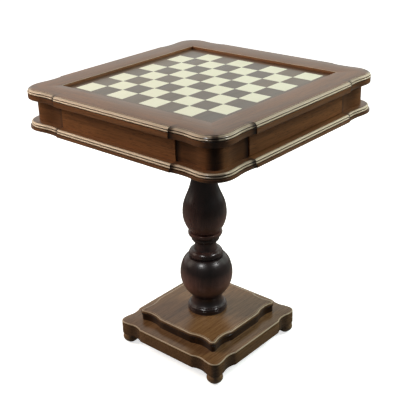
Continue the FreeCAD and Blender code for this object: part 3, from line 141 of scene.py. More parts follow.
class Outline:
    """Line in a plane, drawn corner by corner, in millimetres."""

    EASED_SHARE: ClassVar[float] = 0.45

    def __init__(self, first: float, second: float) -> None:
        """Start at a point."""
        self.runs: list[np.ndarray] = [np.array([[first, second]])]
        self.corners: list[tuple[int, float]] = []

    @property
    def end(self) -> np.ndarray:
        """Return the last point."""
        return self.runs[-1][-1]

    def line(self, first: float, second: float, ease: float = 0.0) -> "Outline":
        """Draw a straight line.

        Args:
            first: where it ends along the plane's first axis.
            second: where it ends along the second axis.
            ease: radius that rounds the corner at its end.

        Returns:
            The outline itself.
        """
        self.runs.append(np.array([[first, second]]))
        if ease:
            self.corners.append((len(self.runs) - 1, ease))
        return self

    def follow(self, points: np.ndarray) -> "Outline":
        """Draw straight lines through points, one row each."""
        self.runs.append(points)
        return self

    def arc(self, first: float, second: float, radius: float, left: bool = False,
            steps: int = 8) -> "Outline":
        """Draw an arc of less than half a circle.

        The centre lies on the chord's middle line, to its left when the arc
        turns left, at the distance that gives the radius.

        Args:
            first: where it ends along the plane's first axis.
            second: where it ends along the second axis.
            radius: its radius.
            left: whether it turns left on its way.
            steps: number of straight spans that stand for it.

        Returns:
            The outline itself.
        """
        start, stop = self.end, np.array([first, second])
        chord = stop - start
        length = np.hypot(*chord)
        rise = math.sqrt(max(radius ** 2 - (length / 2) ** 2, 0.0))
        turn = 1 if left else -1
        centre = (start + stop) / 2 + np.array([-chord[1], chord[0]]) / length * turn * rise
        half = math.asin(min(length / 2 / radius, 1.0))
        begin = math.atan2(*(start - centre)[::-1])
        angle = begin + np.linspace(0, 2 * half, steps + 1)[1:] * turn
        self.runs.append(centre + radius * np.stack([np.cos(angle), np.sin(angle)], axis=1))
        return self

    def points(self, closed: bool = True, steps: int = 3) -> np.ndarray:
        """Return all points, with each eased corner replaced by a short arc.

        An eased corner becomes the quadratic curve between the points one
        easing away from the corner on its two sides, pulled to the corner.

        Args:
            closed: whether the last point is joined to the first.
            steps: number of straight spans that stand for an eased corner.

        Returns:
            The points, one row each.
        """
        flat = np.concatenate(self.runs)
        starts = np.cumsum([0] + [len(run) for run in self.runs])
        share = np.linspace(0, 1, steps + 1)[:, None]
        pieces: list[np.ndarray] = []
        drawn = 0
        for run, ease in self.corners:
            index = starts[run]
            if not closed and index == len(flat) - 1:
                continue
            corner = flat[index]
            back, ahead = flat[index - 1] - corner, flat[(index + 1) % len(flat)] - corner
            back_length, ahead_length = np.hypot(*back), np.hypot(*ahead)
            reach = min(ease, self.EASED_SHARE * back_length, self.EASED_SHARE * ahead_length)
            first, last = corner + back / back_length * reach, corner + ahead / ahead_length * reach
            pieces.append(flat[drawn:index])
            pieces.append((1 - share) ** 2 * first + 2 * share * (1 - share) * corner + share ** 2 * last)
            drawn = index + 1
        return np.concatenate([*pieces, flat[drawn:]])


def bend(points: np.ndarray, closed: bool = True) -> np.ndarray:
    """Return how sharply a line turns at each point, from -1 (groove) to 1 (ridge).

    The turn of the two neighbouring spans is divided by their mean length
    and measured against the radius at which an edge counts as a full ridge;
    its hyperbolic tangent keeps it within one.  The sign follows the side on
    which the enclosed area lies.

    Args:
        points: the line's points, one row each.
        closed: whether the last point is joined to the first.

    Returns:
        One value per point.
    """
    after = np.roll(points, -1, axis=0)
    ahead, back = after - points, points - np.roll(points, 1, axis=0)
    turn = np.arctan2(back[:, 0] * ahead[:, 1] - back[:, 1] * ahead[:, 0], (back * ahead).sum(axis=1))
    length = (np.hypot(*ahead.T) + np.hypot(*back.T)) / 2
    area = (points[:, 0] * after[:, 1] - after[:, 0] * points[:, 1]).sum()
    value = np.tanh(turn / np.maximum(length, SHORTEST_BEND) * RIDGE_RADIUS) * np.sign(area)
    if not closed:
        value[[0, -1]] = 0.0
    return value


def pale_ridges_above(points: np.ndarray, height: float, closed: bool = True) -> np.ndarray:
    """Return the bend of a section, with no pale ridge below a height.

    Args:
        points: the section's points, with their height second.
        height: where the pale ridges start, partly rubbed and partly painted highlight.
        closed: whether the last point is joined to the first.

    Returns:
        One value per point, never above zero below the height.
    """
    value = bend(points, closed)
    return np.where(points[:, 1] < height, np.minimum(value, 0.0), value)


@dataclass(frozen=True)
class WavyEdge:
    """Plan of a wavy side in millimetres: straight middle, dip, ear and corner.

    The dip is an arc about a centre outside the table, the ear one about a
    centre inside it; they and the corner arc are tangent to each other.

    half is how far the middle lies from the centre; end and dip_in run from
    the next side's line to the end of the middle and to the bottom of the
    dip; dip and ear say how far these stay behind the middle, and step how
    far the edge jumps back where the middle ends; corner is the radius of
    the corner; dip_stain says how dark staining and painted shade
    make the dip, and corner_stain how dark the mitre is painted as shade.
    """

    half: float
    end: float
    dip_in: float
    dip: float
    ear: float
    corner: float
    step: float = 0.0
    dip_stain: float = 0.6
    corner_stain: float = 1.0

    @property
    def middle(self) -> float:
        """Return half the length of the straight middle."""
        return self.half - self.end

    @property
    def dip_at(self) -> float:
        """Return how far from the middle of the side the dip is deepest."""
        return self.half - self.dip_in

    @property
    def dip_radius(self) -> float:
        """Return the radius of the dip."""
        return flare_radius(self.end - self.dip_in, self.dip - self.step)

    @property
    def corner_at(self) -> float:
        """Return the distance of the corner arc's centre from the middle, along X and Y."""
        return self.half - self.ear - self.corner

    @property
    def both(self) -> float:
        """Return the radii of dip and ear together."""
        return flare_radius(self.corner_at - self.dip_at, self.dip - self.ear)

    def half_side(self, inset: np.ndarray, stations: Stations = RAIL_STATIONS
                  ) -> tuple[np.ndarray, np.ndarray]:
        """Follow a side from its middle to the mitre at some distances behind the edge.

        Middle: out is half less inset.  Dip: out is the dip's centre less the
        height of a circle of radius dip plus inset.  Ear: out is the ear's
        centre plus the height of a circle of radius ear less inset.  Corner:
        a circle of radius corner less inset, to 45 degrees.

        Args:
            inset: distances behind the outer edge, in millimetres.
            stations: stations in the middle, the dip, the ear and the corner.

        Returns:
            Distances along and out, one row per station, one column per inset.
        """
        dip_radius = self.dip_radius + inset
        ear_radius = self.both - self.dip_radius - inset
        dip_centre = self.half - self.dip + self.dip_radius
        ear_centre = self.half - self.ear - (self.both - self.dip_radius)
        join = self.dip_at + dip_radius * (self.corner_at - self.dip_at) / self.both
        if self.step:
            start = np.full_like(dip_radius, self.middle)
        else:
            start = self.dip_at - np.sqrt(2 * dip_radius * self.dip - self.dip ** 2)
        shares = [np.linspace(0, 1, count + 1)[:, None] for count in stations]
        middle = shares[0] * start
        dip = (start + shares[1] * (join - start))[0 if self.step else 1:]
        ear = (join + shares[2] * (self.corner_at - join))[1:]
        turn = shares[3][1:] * math.pi / 4
        along = np.concatenate([middle, dip, ear, self.corner_at + (self.corner - inset) * np.sin(turn)])
        out = np.concatenate([
            np.zeros_like(middle) + self.half - inset,
            dip_centre - np.sqrt(dip_radius ** 2 - (self.dip_at - dip) ** 2),
            ear_centre + np.sqrt(ear_radius ** 2 - (self.corner_at - ear) ** 2),
            self.corner_at + (self.corner - inset) * np.cos(turn),
        ])
        return along, out

    def stain(self, along: np.ndarray, out: np.ndarray, inset: np.ndarray) -> np.ndarray:
        """Return how dark staining and painted shade make a place, from 0 on the middle to 1 where it is
        darkest.

        It grows with how far the line lies behind the middle, in depths of
        the dip: staining and painted shade in the hollow.  Where the edge has a
        step, both also gather just past it, and painted shade at the mitre; they
        fall off there as a bell curve.

        Args:
            along: distances along the side.
            out: distances out from the centre.
            inset: distances behind the outer edge.

        Returns:
            One depth for each place.
        """
        behind = np.clip((self.half - inset - out) / self.dip, 0.0, 1.0)
        if not self.step:
            return self.dip_stain * behind
        # Past the step staining and painted shade gather; at the mitre it is painted shade.
        past_step, past_mitre = np.abs(along) - self.middle, out - np.abs(along)
        at_step = np.where(behind > 0, np.exp(-(past_step / STAIN_AND_SHADE_REACH) ** 2), 0.0)
        at_mitre = self.corner_stain * np.exp(-(past_mitre / STAIN_AND_SHADE_REACH) ** 2)
        return np.maximum(np.maximum(self.dip_stain * behind, at_step), at_mitre)


class Surface:
    """Closed skin of a piece, with the bend at each vertex and how dark staining and painted shade make it.

    Each array of faces holds faces of one number of corners, one row each.
    """

    def __init__(self) -> None:
        """Start with nothing."""
        self.places: list[np.ndarray] = []
        self.ridges_and_grooves: list[np.ndarray] = []
        self.stains: list[np.ndarray] = []
        self.wraps: list[np.ndarray] = []
        self.faces: list[np.ndarray] = []
        self.count = 0

    def grid(self, places: np.ndarray, ridge_and_groove: np.ndarray, wrap: np.ndarray | None = None,
             stain: np.ndarray | float = 0.0, loop_rows: bool = False, loop_columns: bool = False,
             caps: bool = False) -> "Surface":
        """Add a grid of quads.

        Args:
            places: rows by columns by 3, in millimetres.
            ridge_and_groove: bend at each vertex, rows by columns; ridges turn pale, partly
                rubbed and partly painted highlight, and grooves dark, partly grime and
                partly painted shade.
            wrap: place of each vertex along, across and through the grain.
            stain: how dark staining and painted shade make each vertex, rows by columns.
            loop_rows: join the last row to the first.
            loop_columns: join the last column to the first.
            caps: close the first and last row with one face each.

        Returns:
            The surface itself.
        """
        rows, columns = places.shape[:2]
        index = np.arange(rows * columns).reshape(rows, columns) + self.count
        below = index if loop_rows else index[:-1]
        above = np.roll(index, -1, axis=0) if loop_rows else index[1:]
        if loop_columns:
            right_below, right_above = np.roll(below, -1, axis=1), np.roll(above, -1, axis=1)
        else:
            right_below, right_above = below[:, 1:], above[:, 1:]
            below, above = below[:, :-1], above[:, :-1]
        self.faces.append(np.stack([below, right_below, right_above, above], axis=-1).reshape(-1, 4))
        if caps:
            self.faces += [index[:1, ::-1], index[-1:]]
        self.places.append(places.reshape(-1, 3))
        self.ridges_and_grooves.append(np.broadcast_to(ridge_and_groove, (rows, columns)).reshape(-1))
        self.stains.append(np.broadcast_to(stain, (rows, columns)).reshape(-1))
        self.wraps.append(places.reshape(-1, 3) if wrap is None else wrap.reshape(-1, 3))
        self.count += rows * columns
        return self

    def _volume(self, places: np.ndarray) -> float:
        """Return six times the volume inside: the sum of the triple products of fan triangles.

        Args:
            places: the place of each vertex.

        Returns:
            The sum, below zero where the faces point inwards.
        """
        total = 0.0
        for faces in self.faces:
            second, third = faces[:, 1:-1], faces[:, 2:]
            first = np.broadcast_to(faces[:, :1], third.shape)
            total += (places[first] * np.cross(places[second], places[third])).sum()
        return float(total)

    def piece(self, name: str, body: str, material: bpy.types.Material, node: str,
              slot: str = "stained_walnut", sharp: float = 32.0) -> bpy.types.Object:
        """Make the object, smooth it up to an angle and put it in the node's place.

        Args:
            name: name of the new object.
            body: body that it rides on.
            material: its finish.
            node: node that it stands for.
            slot: the record's material slot of that finish; not used.
            sharp: angle in degrees over which an edge stays sharp.

        Returns:
            The new object.
        """
        places = np.concatenate(self.places) * MM
        if self._volume(places) < 0:
            self.faces = [faces[:, ::-1] for faces in self.faces]
        mesh = bpy.data.meshes.new(name)
        mesh.from_pydata(places.tolist(), [], [face for faces in self.faces for face in faces.tolist()])
        # Each vertex carries its bend and its darkening by staining and painted shade.
        for attribute, values in (("ridge_and_groove", self.ridges_and_grooves), ("stain", self.stains)):
            mesh.attributes.new(attribute, "FLOAT", "POINT").data.foreach_set(
                "value", np.concatenate(values).astype(np.float32))
        mesh.attributes.new("wrap", "FLOAT_VECTOR", "POINT").data.foreach_set(
            "vector", (np.concatenate(self.wraps) * MM).astype(np.float32).ravel())
        mesh.shade_smooth()
        mesh.set_sharp_from_angle(angle=math.radians(sharp))
        mesh.materials.append(material)
        mesh.update()
        mesh.validate()
        obj = bpy.data.objects.new(name, mesh)
        bpy.context.scene.collection.objects.link(obj)
        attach(obj, body)
        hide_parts(node)
        LOG.info("%s: %d vertices, %d faces", name, len(mesh.vertices), len(mesh.polygons))
        return obj


def turned(outline: np.ndarray, centre: tuple[float, float] = (0.0, 0.0), foot: float = 0.0,
           segments: int = 112, shade: Shade = ((0.0, 0.0),)) -> Surface:
    """Turn a closed outline about an upright axis.

    The point at angle a of an outline point (radius, height) is the centre
    plus radius times (cos a, sin a), at foot plus height.

    Args:
        outline: points as radius and height, one row each.
        centre: X and Y of the axis.
        foot: height of the outline's own zero.
        segments: number of faces round the axis.
        shade: heights, each with the depth of the painted shade there; it changes evenly between them.

    Returns:
        The turned surface.
    """
    angle = np.linspace(0, 2 * math.pi, segments, endpoint=False)[:, None]
    radius, height = outline[:, 0], outline[:, 1]
    places = np.stack([centre[0] + radius * np.cos(angle), centre[1] + radius * np.sin(angle),
                       np.broadcast_to(foot + height, (segments, len(outline)))], axis=-1)
    stain = np.interp(height, *zip(*shade))
    return Surface().grid(places, bend(outline), stain=stain, loop_rows=True, loop_columns=True)


# ------------------------------------------------------------------ finishes


@dataclass(frozen=True)
class Pattern:
    """Noise with its waves per metre along, across and through the fibres.

    The shift keeps patterns of one plank apart.
    """

    waves: Point
    detail: float
    shift: float = 0.0


class Graph:
    """Short way to lay out shader nodes in a tree."""

    # A Mix node has these sockets for colours.
    FIRST_COLOUR: ClassVar[int] = 6
    SECOND_COLOUR: ClassVar[int] = 7
    MIXED_COLOUR: ClassVar[int] = 2
    # How a seed moves a pattern along, across and through the fibres.
    SEED_STEP: ClassVar[Point] = (1.0, 1.7, 0.6)

    def __init__(self, tree: bpy.types.NodeTree) -> None:
        """Take a tree and empty it."""
        self.tree = tree
        self.tree.nodes.clear()

    def add(self, kind: str, **settings: object) -> bpy.types.Node:
        """Add a node.

        Args:
            kind: its type.
            settings: properties to set on it.

        Returns:
            The node.
        """
        node = self.tree.nodes.new(kind)
        for key, value in settings.items():
            setattr(node, key, value)
        return node

    def feed(self, socket: bpy.types.NodeSocket, value: object) -> None:
        """Link an output to a socket, or set the socket's own value.

        Args:
            socket: the input that gets the value.
            value: an output, or a plain value.
        """
        if isinstance(value, bpy.types.NodeSocket):
            self.tree.links.new(value, socket)
        else:
            socket.default_value = value

    def calc(self, operation: str, *values: object) -> bpy.types.NodeSocket:
        """Return the result of a Math node.

        Args:
            operation: what it does.
            values: outputs or numbers, in the order of its inputs.

        Returns:
            Its output.
        """
        node = self.add("ShaderNodeMath", operation=operation)
        for socket, value in zip(node.inputs, values):
            self.feed(socket, value)
        return node.outputs[0]

    def span(self, value: object, low: float, high: float, to_low: object = 0.0,
             to_high: object = 1.0) -> bpy.types.NodeSocket:
        """Return a value moved from one range to another, held at its ends.

        Args:
            value: output to move.
            low: value that becomes to_low.
            high: value that becomes to_high.
            to_low: start of the new range.
            to_high: end of the new range.

        Returns:
            The moved value.
        """
        node = self.add("ShaderNodeMapRange")
        for name, given in (("Value", value), ("From Min", low), ("From Max", high),
                            ("To Min", to_low), ("To Max", to_high)):
            self.feed(node.inputs[name], given)
        return node.outputs["Result"]

    def mix(self, share: object, first: object, second: object) -> bpy.types.NodeSocket:
        """Return two colours mixed.

        Args:
            share: how much of the second colour there is.
            first: colour at share 0.
            second: colour at share 1.

        Returns:
            The mixed colour.
        """
        node = self.add("ShaderNodeMix", data_type="RGBA")
        self.feed(node.inputs[0], share)
        self.feed(node.inputs[self.FIRST_COLOUR], first)
        self.feed(node.inputs[self.SECOND_COLOUR], second)
        return node.outputs[self.MIXED_COLOUR]

    def noise(self, vector: object, pattern: Pattern, seed: float = 0.0,
              fine: float = 1.0) -> bpy.types.NodeSocket:
        """Return noise between 0 and 1 in a pattern.

        Args:
            vector: coordinates whose X runs along the fibres.
            pattern: its waves and detail.
            seed: moves it, so that each plank has its own figure.
            fine: how much closer its waves are across and through the fibres.

        Returns:
            The noise.
        """
        along, across, through = pattern.waves
        shift = seed + pattern.shift
        place = self.add("ShaderNodeMapping")
        place.inputs["Location"].default_value = [shift * step for step in self.SEED_STEP]
        place.inputs["Scale"].default_value = (along, across * fine, through * fine)
        self.feed(place.inputs["Vector"], vector)
        node = self.add("ShaderNodeTexNoise")
        node.inputs["Scale"].default_value = 1.0
        node.inputs["Detail"].default_value = pattern.detail
        self.feed(node.inputs["Vector"], place.outputs[0])
        return node.outputs["Fac"]

    def place(self) -> bpy.types.NodeSocket:
        """Return the place in the object."""
        return self.add("ShaderNodeTexCoord").outputs["Object"]


class Paint(Graph):
    """Nodes of one material round its Principled shader."""

    def __init__(self, name: str) -> None:
        """Make the material and its shader."""
        self.material = bpy.data.materials.new(name)
        self.material.use_nodes = True
        super().__init__(self.material.node_tree)
        self.shader = self.add("ShaderNodeBsdfPrincipled")
        self.feed(self.add("ShaderNodeOutputMaterial").inputs["Surface"], self.shader.outputs[0])

    def fibres(self, grain: Grain) -> bpy.types.NodeSocket:
        """Return coordinates whose X runs along the fibres.

        Args:
            grain: their direction, or that they follow the surface.

        Returns:
            The place along, across and through the grain.
        """
        if grain is Grain.WRAPPED:
            return self.add("ShaderNodeAttribute", attribute_name="wrap").outputs["Vector"]
        source = self.add("ShaderNodeSeparateXYZ")
        self.feed(source.inputs[0], self.place())
        joined = self.add("ShaderNodeCombineXYZ")
        for socket, axis in zip(joined.inputs, grain.value):
            self.feed(socket, source.outputs[axis])
        return joined.outputs[0]

    def attribute(self, name: str) -> bpy.types.NodeSocket:
        """Return a value that the surface carries: its bend, or its darkening by staining and painted
        shade.
        """
        return self.add("ShaderNodeAttribute", attribute_name=name).outputs["Fac"]

    def set(self, **sockets: object) -> None:
        """Feed sockets of the shader, named with underscores for spaces."""
        for name, value in sockets.items():
            self.feed(self.shader.inputs[name.replace("_", " ")], value)

    def bump(self, height: bpy.types.NodeSocket, depth_mm: float, strength: float) -> None:
        """Press a height pattern into the surface.

        Args:
            height: the pattern.
            depth_mm: depth between its 0 and 1, in millimetres.
            strength: share of the depth that shows.
        """
        node = self.add("ShaderNodeBump")
        node.inputs["Strength"].default_value = strength
        node.inputs["Distance"].default_value = depth_mm * MM
        self.feed(node.inputs["Height"], height)
        self.feed(self.shader.inputs["Normal"], node.outputs[0])


def rgba(colour: Colour) -> tuple[float, float, float, float]:
    """Return a colour with full cover."""
    return (*colour, 1.0)


# Patterns in wood: broad bands, the figure from which the growth lines are
# cut and how many of them it holds, long threads and short pores.
BANDS = Pattern((1.6, 26, 26), detail=3)
FIGURE = Pattern((0.9, 8, 8), detail=2, shift=3)
RING_TURNS = 95.0
THREADS = Pattern((14, 380, 380), detail=3, shift=7)
SHORT_PORES = Pattern((70, 900, 900), detail=1, shift=11)

# Ranges: the part of a noise that is used, and the part of it that is a pore;
# how unevenly staining and painted shade darken and how uneven the roughness
# is; the bend over which an edge goes from plain to pale, for rubbing and
# painted highlight; the depth of staining and painted shade over which it goes
# from open to covered, and the share of the pale colour that then shows.
NOISE_BODY = (0.3, 0.7)
PORE_BODY = (0.60, 0.72)
DARKENING_SPREAD = (0.75, 1.25)
ROUGHNESS_SPREAD = (0.85, 1.15)
PALE_RIDGE = (0.2, 0.8)
COVERED = (0.3, 0.85)
PALE_UNDER_COVER = (1.0, 0.1)

# Strength with which threads and pores stand out in the surface.
WOOD_RELIEF = 0.35


@dataclass(frozen=True)
class Wood:
    """Stained or plain wood under lacquer.

    Broad bands, growth lines and fine fibres run along the grain and set the
    tone between dark and light; short pores are cut into it; ridges turn paler
    and smoother, partly rubbed and partly a painted highlight, and grooves turn
    darker, partly grime and partly painted shade.

    bands, lines, fibre and pores say how much of each pattern shows;
    wear_and_highlight, shelter and stain how far
    ridges, grooves and darkened places change; polish how much of the roughness
    a ridge keeps; fine how close the fibres lie; squares how far the squares of
    the board differ in tone, and square how wide they are, in metres.
    """

    name: str
    light: Colour
    dark: Colour
    pore: Colour
    worn_and_highlight: Colour
    roughness: float = 0.32
    coat: float = 0.5
    coat_roughness: float = 0.12
    specular: float = 0.5
    bands: float = 0.45
    lines: float = 0.2
    fibre: float = 0.35
    pores: float = 0.5
    wear_and_highlight: float = 0.6
    shelter: float = 0.6
    stain: float = 0.7
    polish: float = 0.6
    fine: float = 1.0
    squares: float = 0.0
    square: float = 0.05
    depth_mm: float = 0.05

    def dress(self, grain: Grain, seed: float = 0.0) -> bpy.types.Material:
        """Make the material of one plank.

        Args:
            grain: direction of its fibres.
            seed: number that gives it its own figure.

        Returns:
            The material.
        """
        paint = Paint(f"{self.name}_{grain.name.lower()}_{seed:g}")
        place = paint.fibres(grain)
        broad = paint.noise(place, BANDS, seed)
        rings = paint.calc("SINE", paint.calc("MULTIPLY", paint.noise(place, FIGURE, seed), RING_TURNS))
        threads = paint.noise(place, THREADS, seed, self.fine)
        pores = paint.span(paint.noise(place, SHORT_PORES, seed, self.fine), *PORE_BODY)
        tone = paint.calc("ADD", paint.calc("MULTIPLY", paint.span(broad, *NOISE_BODY), self.bands),
                          paint.calc("MULTIPLY", paint.span(threads, *NOISE_BODY), self.fibre))
        tone = paint.calc("ADD", tone, paint.calc("MULTIPLY", paint.span(rings, -1.0, 1.0), self.lines))
        if self.squares:
            tone = paint.calc("ADD", tone, self.patchwork(paint))
        colour = paint.mix(paint.span(tone, 0.0, 1.0), rgba(self.dark), rgba(self.light))
        colour = paint.mix(paint.calc("MULTIPLY", pores, self.pores), colour, rgba(self.pore))
        ridge_and_groove = paint.attribute("ridge_and_groove")
        matt = paint.span(broad, *NOISE_BODY, *(self.roughness * share for share in ROUGHNESS_SPREAD))
        paint.set(Base_Color=self.aged(paint, colour, broad, ridge_and_groove),
                  Roughness=paint.calc("MULTIPLY", matt, paint.span(ridge_and_groove, 0.0, 1.0, 1.0, self.polish)),
                  Coat_Weight=self.coat, Coat_Roughness=self.coat_roughness,
                  Specular_IOR_Level=self.specular)
        paint.bump(paint.calc("SUBTRACT", threads, pores), self.depth_mm, WOOD_RELIEF)
        return paint.material

    def aged(self, paint: Paint, colour: bpy.types.NodeSocket, broad: bpy.types.NodeSocket,
             ridge_and_groove: bpy.types.NodeSocket) -> bpy.types.NodeSocket:
        """Darken by staining and painted shade, pale the ridges (rubbing and painted highlight) and darken
        the grooves (grime and painted shade).

        Args:
            paint: the material's nodes.
            colour: colour of the even wood.
            broad: bands that make the darkening uneven.
            ridge_and_groove: bend of the surface, from -1 in a groove to 1 on a ridge.

        Returns:
            The colour with its age, painted highlight and painted shade.
        """
        stain = paint.attribute("stain")
        # Darkening by staining and painted shade, made uneven by the bands.
        darkened_share = paint.calc("MULTIPLY", stain, paint.span(broad, *NOISE_BODY, *DARKENING_SPREAD))
        colour = paint.mix(paint.span(darkened_share, 0.0, 1.0, 0.0, self.stain), colour, rgba(self.pore))
        # Pale ridges: partly rubbed wood, partly a painted highlight; less where darkened.
        pale_share = paint.calc("MULTIPLY", paint.span(ridge_and_groove, *PALE_RIDGE, 0.0, self.wear_and_highlight),
                          paint.span(stain, *COVERED, *PALE_UNDER_COVER))
        colour = paint.mix(pale_share, colour, rgba(self.worn_and_highlight))
        # Dark grooves: partly grime, partly painted shade.
        return paint.mix(paint.span(ridge_and_groove, 0.0, -1.0, 0.0, self.shelter), colour, rgba(self.pore))

    def patchwork(self, paint: Paint) -> bpy.types.NodeSocket:
        """Return a tone of its own for each square of the board.

        Args:
            paint: the material's nodes.

        Returns:
            A tone that is the same all over a square.
        """
        snap = paint.add("ShaderNodeVectorMath", operation="SNAP")
        paint.feed(snap.inputs[0], paint.place())
        paint.feed(snap.inputs[1], (self.square, self.square, 1.0))
        hashed = paint.add("ShaderNodeTexWhiteNoise")
        paint.feed(hashed.inputs["Vector"], snap.outputs[0])
        return paint.span(hashed.outputs["Value"], 0.0, 1.0, -self.squares, self.squares)


@dataclass(frozen=True)
class Felt:
    """Short wool nap: two tones of fuzz and a soft sheen."""

    NAP: ClassVar[Pattern] = Pattern((900, 900, 900), detail=3)
    PATCHES: ClassVar[Pattern] = Pattern((35, 35, 35), detail=2, shift=4)

    name: str
    colour: Colour
    fuzz: Colour
    nap_share: float = 0.7
    contrast: Range = (0.35, 0.65)
    roughness: float = 0.95
    sheen: float = 0.4
    sheen_roughness: float = 0.5
    specular: float = 0.15
    depth_mm: float = 0.3
    relief: float = 0.6

    def dress(self) -> bpy.types.Material:
        """Return the material."""
        paint = Paint(self.name)
        place = paint.place()
        nap = paint.noise(place, self.NAP)
        tone = paint.calc("ADD", paint.calc("MULTIPLY", nap, self.nap_share),
                          paint.calc("MULTIPLY", paint.noise(place, self.PATCHES), 1 - self.nap_share))
        colour = paint.mix(paint.span(tone, *self.contrast), rgba(self.colour), rgba(self.fuzz))
        paint.set(Base_Color=colour, Roughness=self.roughness, Sheen_Weight=self.sheen,
                  Sheen_Roughness=self.sheen_roughness, Specular_IOR_Level=self.specular)
        paint.bump(nap, self.depth_mm, self.relief)
        return paint.material


@dataclass(frozen=True)
class Zinc:
    """Zinc-plated steel of the hidden fastenings, slightly mottled."""

    MOTTLE: ClassVar[Pattern] = Pattern((260, 260, 260), detail=3)

    name: str = "zinc_plated_steel"
    colour: Colour = (0.52, 0.52, 0.50)
    tarnish: Colour = (0.62, 0.6, 0.52)
    contrast: Range = (0.35, 0.65)
    roughness: Range = (0.28, 0.45)
    depth_mm: float = 0.05
    relief: float = 0.4

    def dress(self) -> bpy.types.Material:
        """Return the material."""
        paint = Paint(self.name)
        mottle = paint.noise(paint.place(), self.MOTTLE)
        colour = paint.mix(paint.span(mottle, *self.contrast), rgba(self.colour), rgba(self.tarnish))
        paint.set(Base_Color=colour, Metallic=1.0,
                  Roughness=paint.span(mottle, *NOISE_BODY, *self.roughness))
        paint.bump(mottle, self.depth_mm, self.relief)
        return paint.material


# The pale colour of the ridges on the stained walnut and the plinths is partly rubbed wood and partly a
# painted highlight along noses, beads and edges.
STAINED = Wood(
    "stained_walnut", light=(0.231, 0.0941, 0.0336), dark=(0.0907, 0.0353, 0.0113),
    pore=(0.0168, 0.0059, 0.0025), worn_and_highlight=(0.7896, 0.6468, 0.4872), roughness=0.34, coat=0.1,
    wear_and_highlight=0.95, shelter=0.85, stain=0.9, fibre=0.5, pores=0.6, fine=0.85)
APRON_STAIN = replace(STAINED, name="stained_walnut_apron", roughness=0.46, specular=0.25, coat=0.0)
PLINTH_STAIN = Wood(
    "stained_walnut_plinth", light=(0.2058, 0.1075, 0.047), dark=(0.0924, 0.0437, 0.0168),
    pore=(0.0134, 0.005, 0.0025), worn_and_highlight=(0.5208, 0.4032, 0.2772), roughness=0.24, coat=0.0,
    bands=0.25, lines=0.12, fibre=0.8, wear_and_highlight=0.8, stain=0.95, fine=0.7)
# Its light colour is set high so that, where the painted shade is thin, it paints the sheen reflected from
# plinth and floor onto the lower bellies.
TURNED = Wood(
    "dark_turned_wood", light=(0.2268, 0.1092, 0.0882), dark=(0.0966, 0.0437, 0.0361),
    pore=(0.0042, 0.0034, 0.005), worn_and_highlight=(0.0672, 0.0302, 0.0252), roughness=0.32, coat=0.1,
    wear_and_highlight=0.3, stain=0.9, depth_mm=0.02)
WALNUT_VENEER = Wood(
    "walnut_veneer", light=(0.1428, 0.084, 0.0386), dark=(0.063, 0.0336, 0.0151),
    pore=(0.0252, 0.0143, 0.0067), worn_and_highlight=(0.1344, 0.084, 0.0588), squares=0.28, bands=0.3, coat=0.3)
BORDER_VENEER = Wood(
    "walnut_border", light=(0.1428, 0.0706, 0.0302), dark=(0.0672, 0.0302, 0.0126),
    pore=(0.0202, 0.0092, 0.005), worn_and_highlight=(0.168, 0.1008, 0.0588), coat=0.3)
MAPLE_VENEER = Wood(
    "maple_veneer", light=(0.96, 0.96, 0.79), dark=(0.92, 0.91, 0.73), pore=(0.60, 0.52, 0.36),
    worn_and_highlight=(0.84, 0.82, 0.66), squares=0.25, pores=0.15, lines=0.12, roughness=0.4, coat=0.2)
BEECH = Wood(
    "beech", light=(0.60, 0.40, 0.24), dark=(0.44, 0.27, 0.15), pore=(0.26, 0.14, 0.07),
    worn_and_highlight=(0.62, 0.44, 0.28), roughness=0.5, coat=0.0, specular=0.35, pores=0.35, fine=1.3)
PLYWOOD = Wood(
    "birch_plywood", light=(0.56, 0.41, 0.25), dark=(0.42, 0.29, 0.16), pore=(0.3, 0.19, 0.1),
    worn_and_highlight=(0.58, 0.45, 0.3), roughness=0.55, coat=0.0, specular=0.3, bands=0.6, pores=0.2)
PANEL_STAIN = Wood(
    "stained_panel", light=(0.12, 0.055, 0.028), dark=(0.07, 0.03, 0.014), pore=(0.03, 0.014, 0.008),
    worn_and_highlight=(0.15, 0.08, 0.04), roughness=0.5, coat=0.0, bands=0.6, depth_mm=0.03)
GREEN_FELT = Felt("green_felt", (0.012, 0.052, 0.026), (0.03, 0.1, 0.055))
BROWN_FELT = Felt("brown_felt", (0.035, 0.02, 0.012), (0.08, 0.05, 0.03))


# ------------------------------------------------------------ sub-assemblies


RAIL_EDGE = WavyEdge(half=293, end=123, dip_in=94, dip=4.9, ear=1.25, corner=47.75, step=2,
                     dip_stain=0.47)


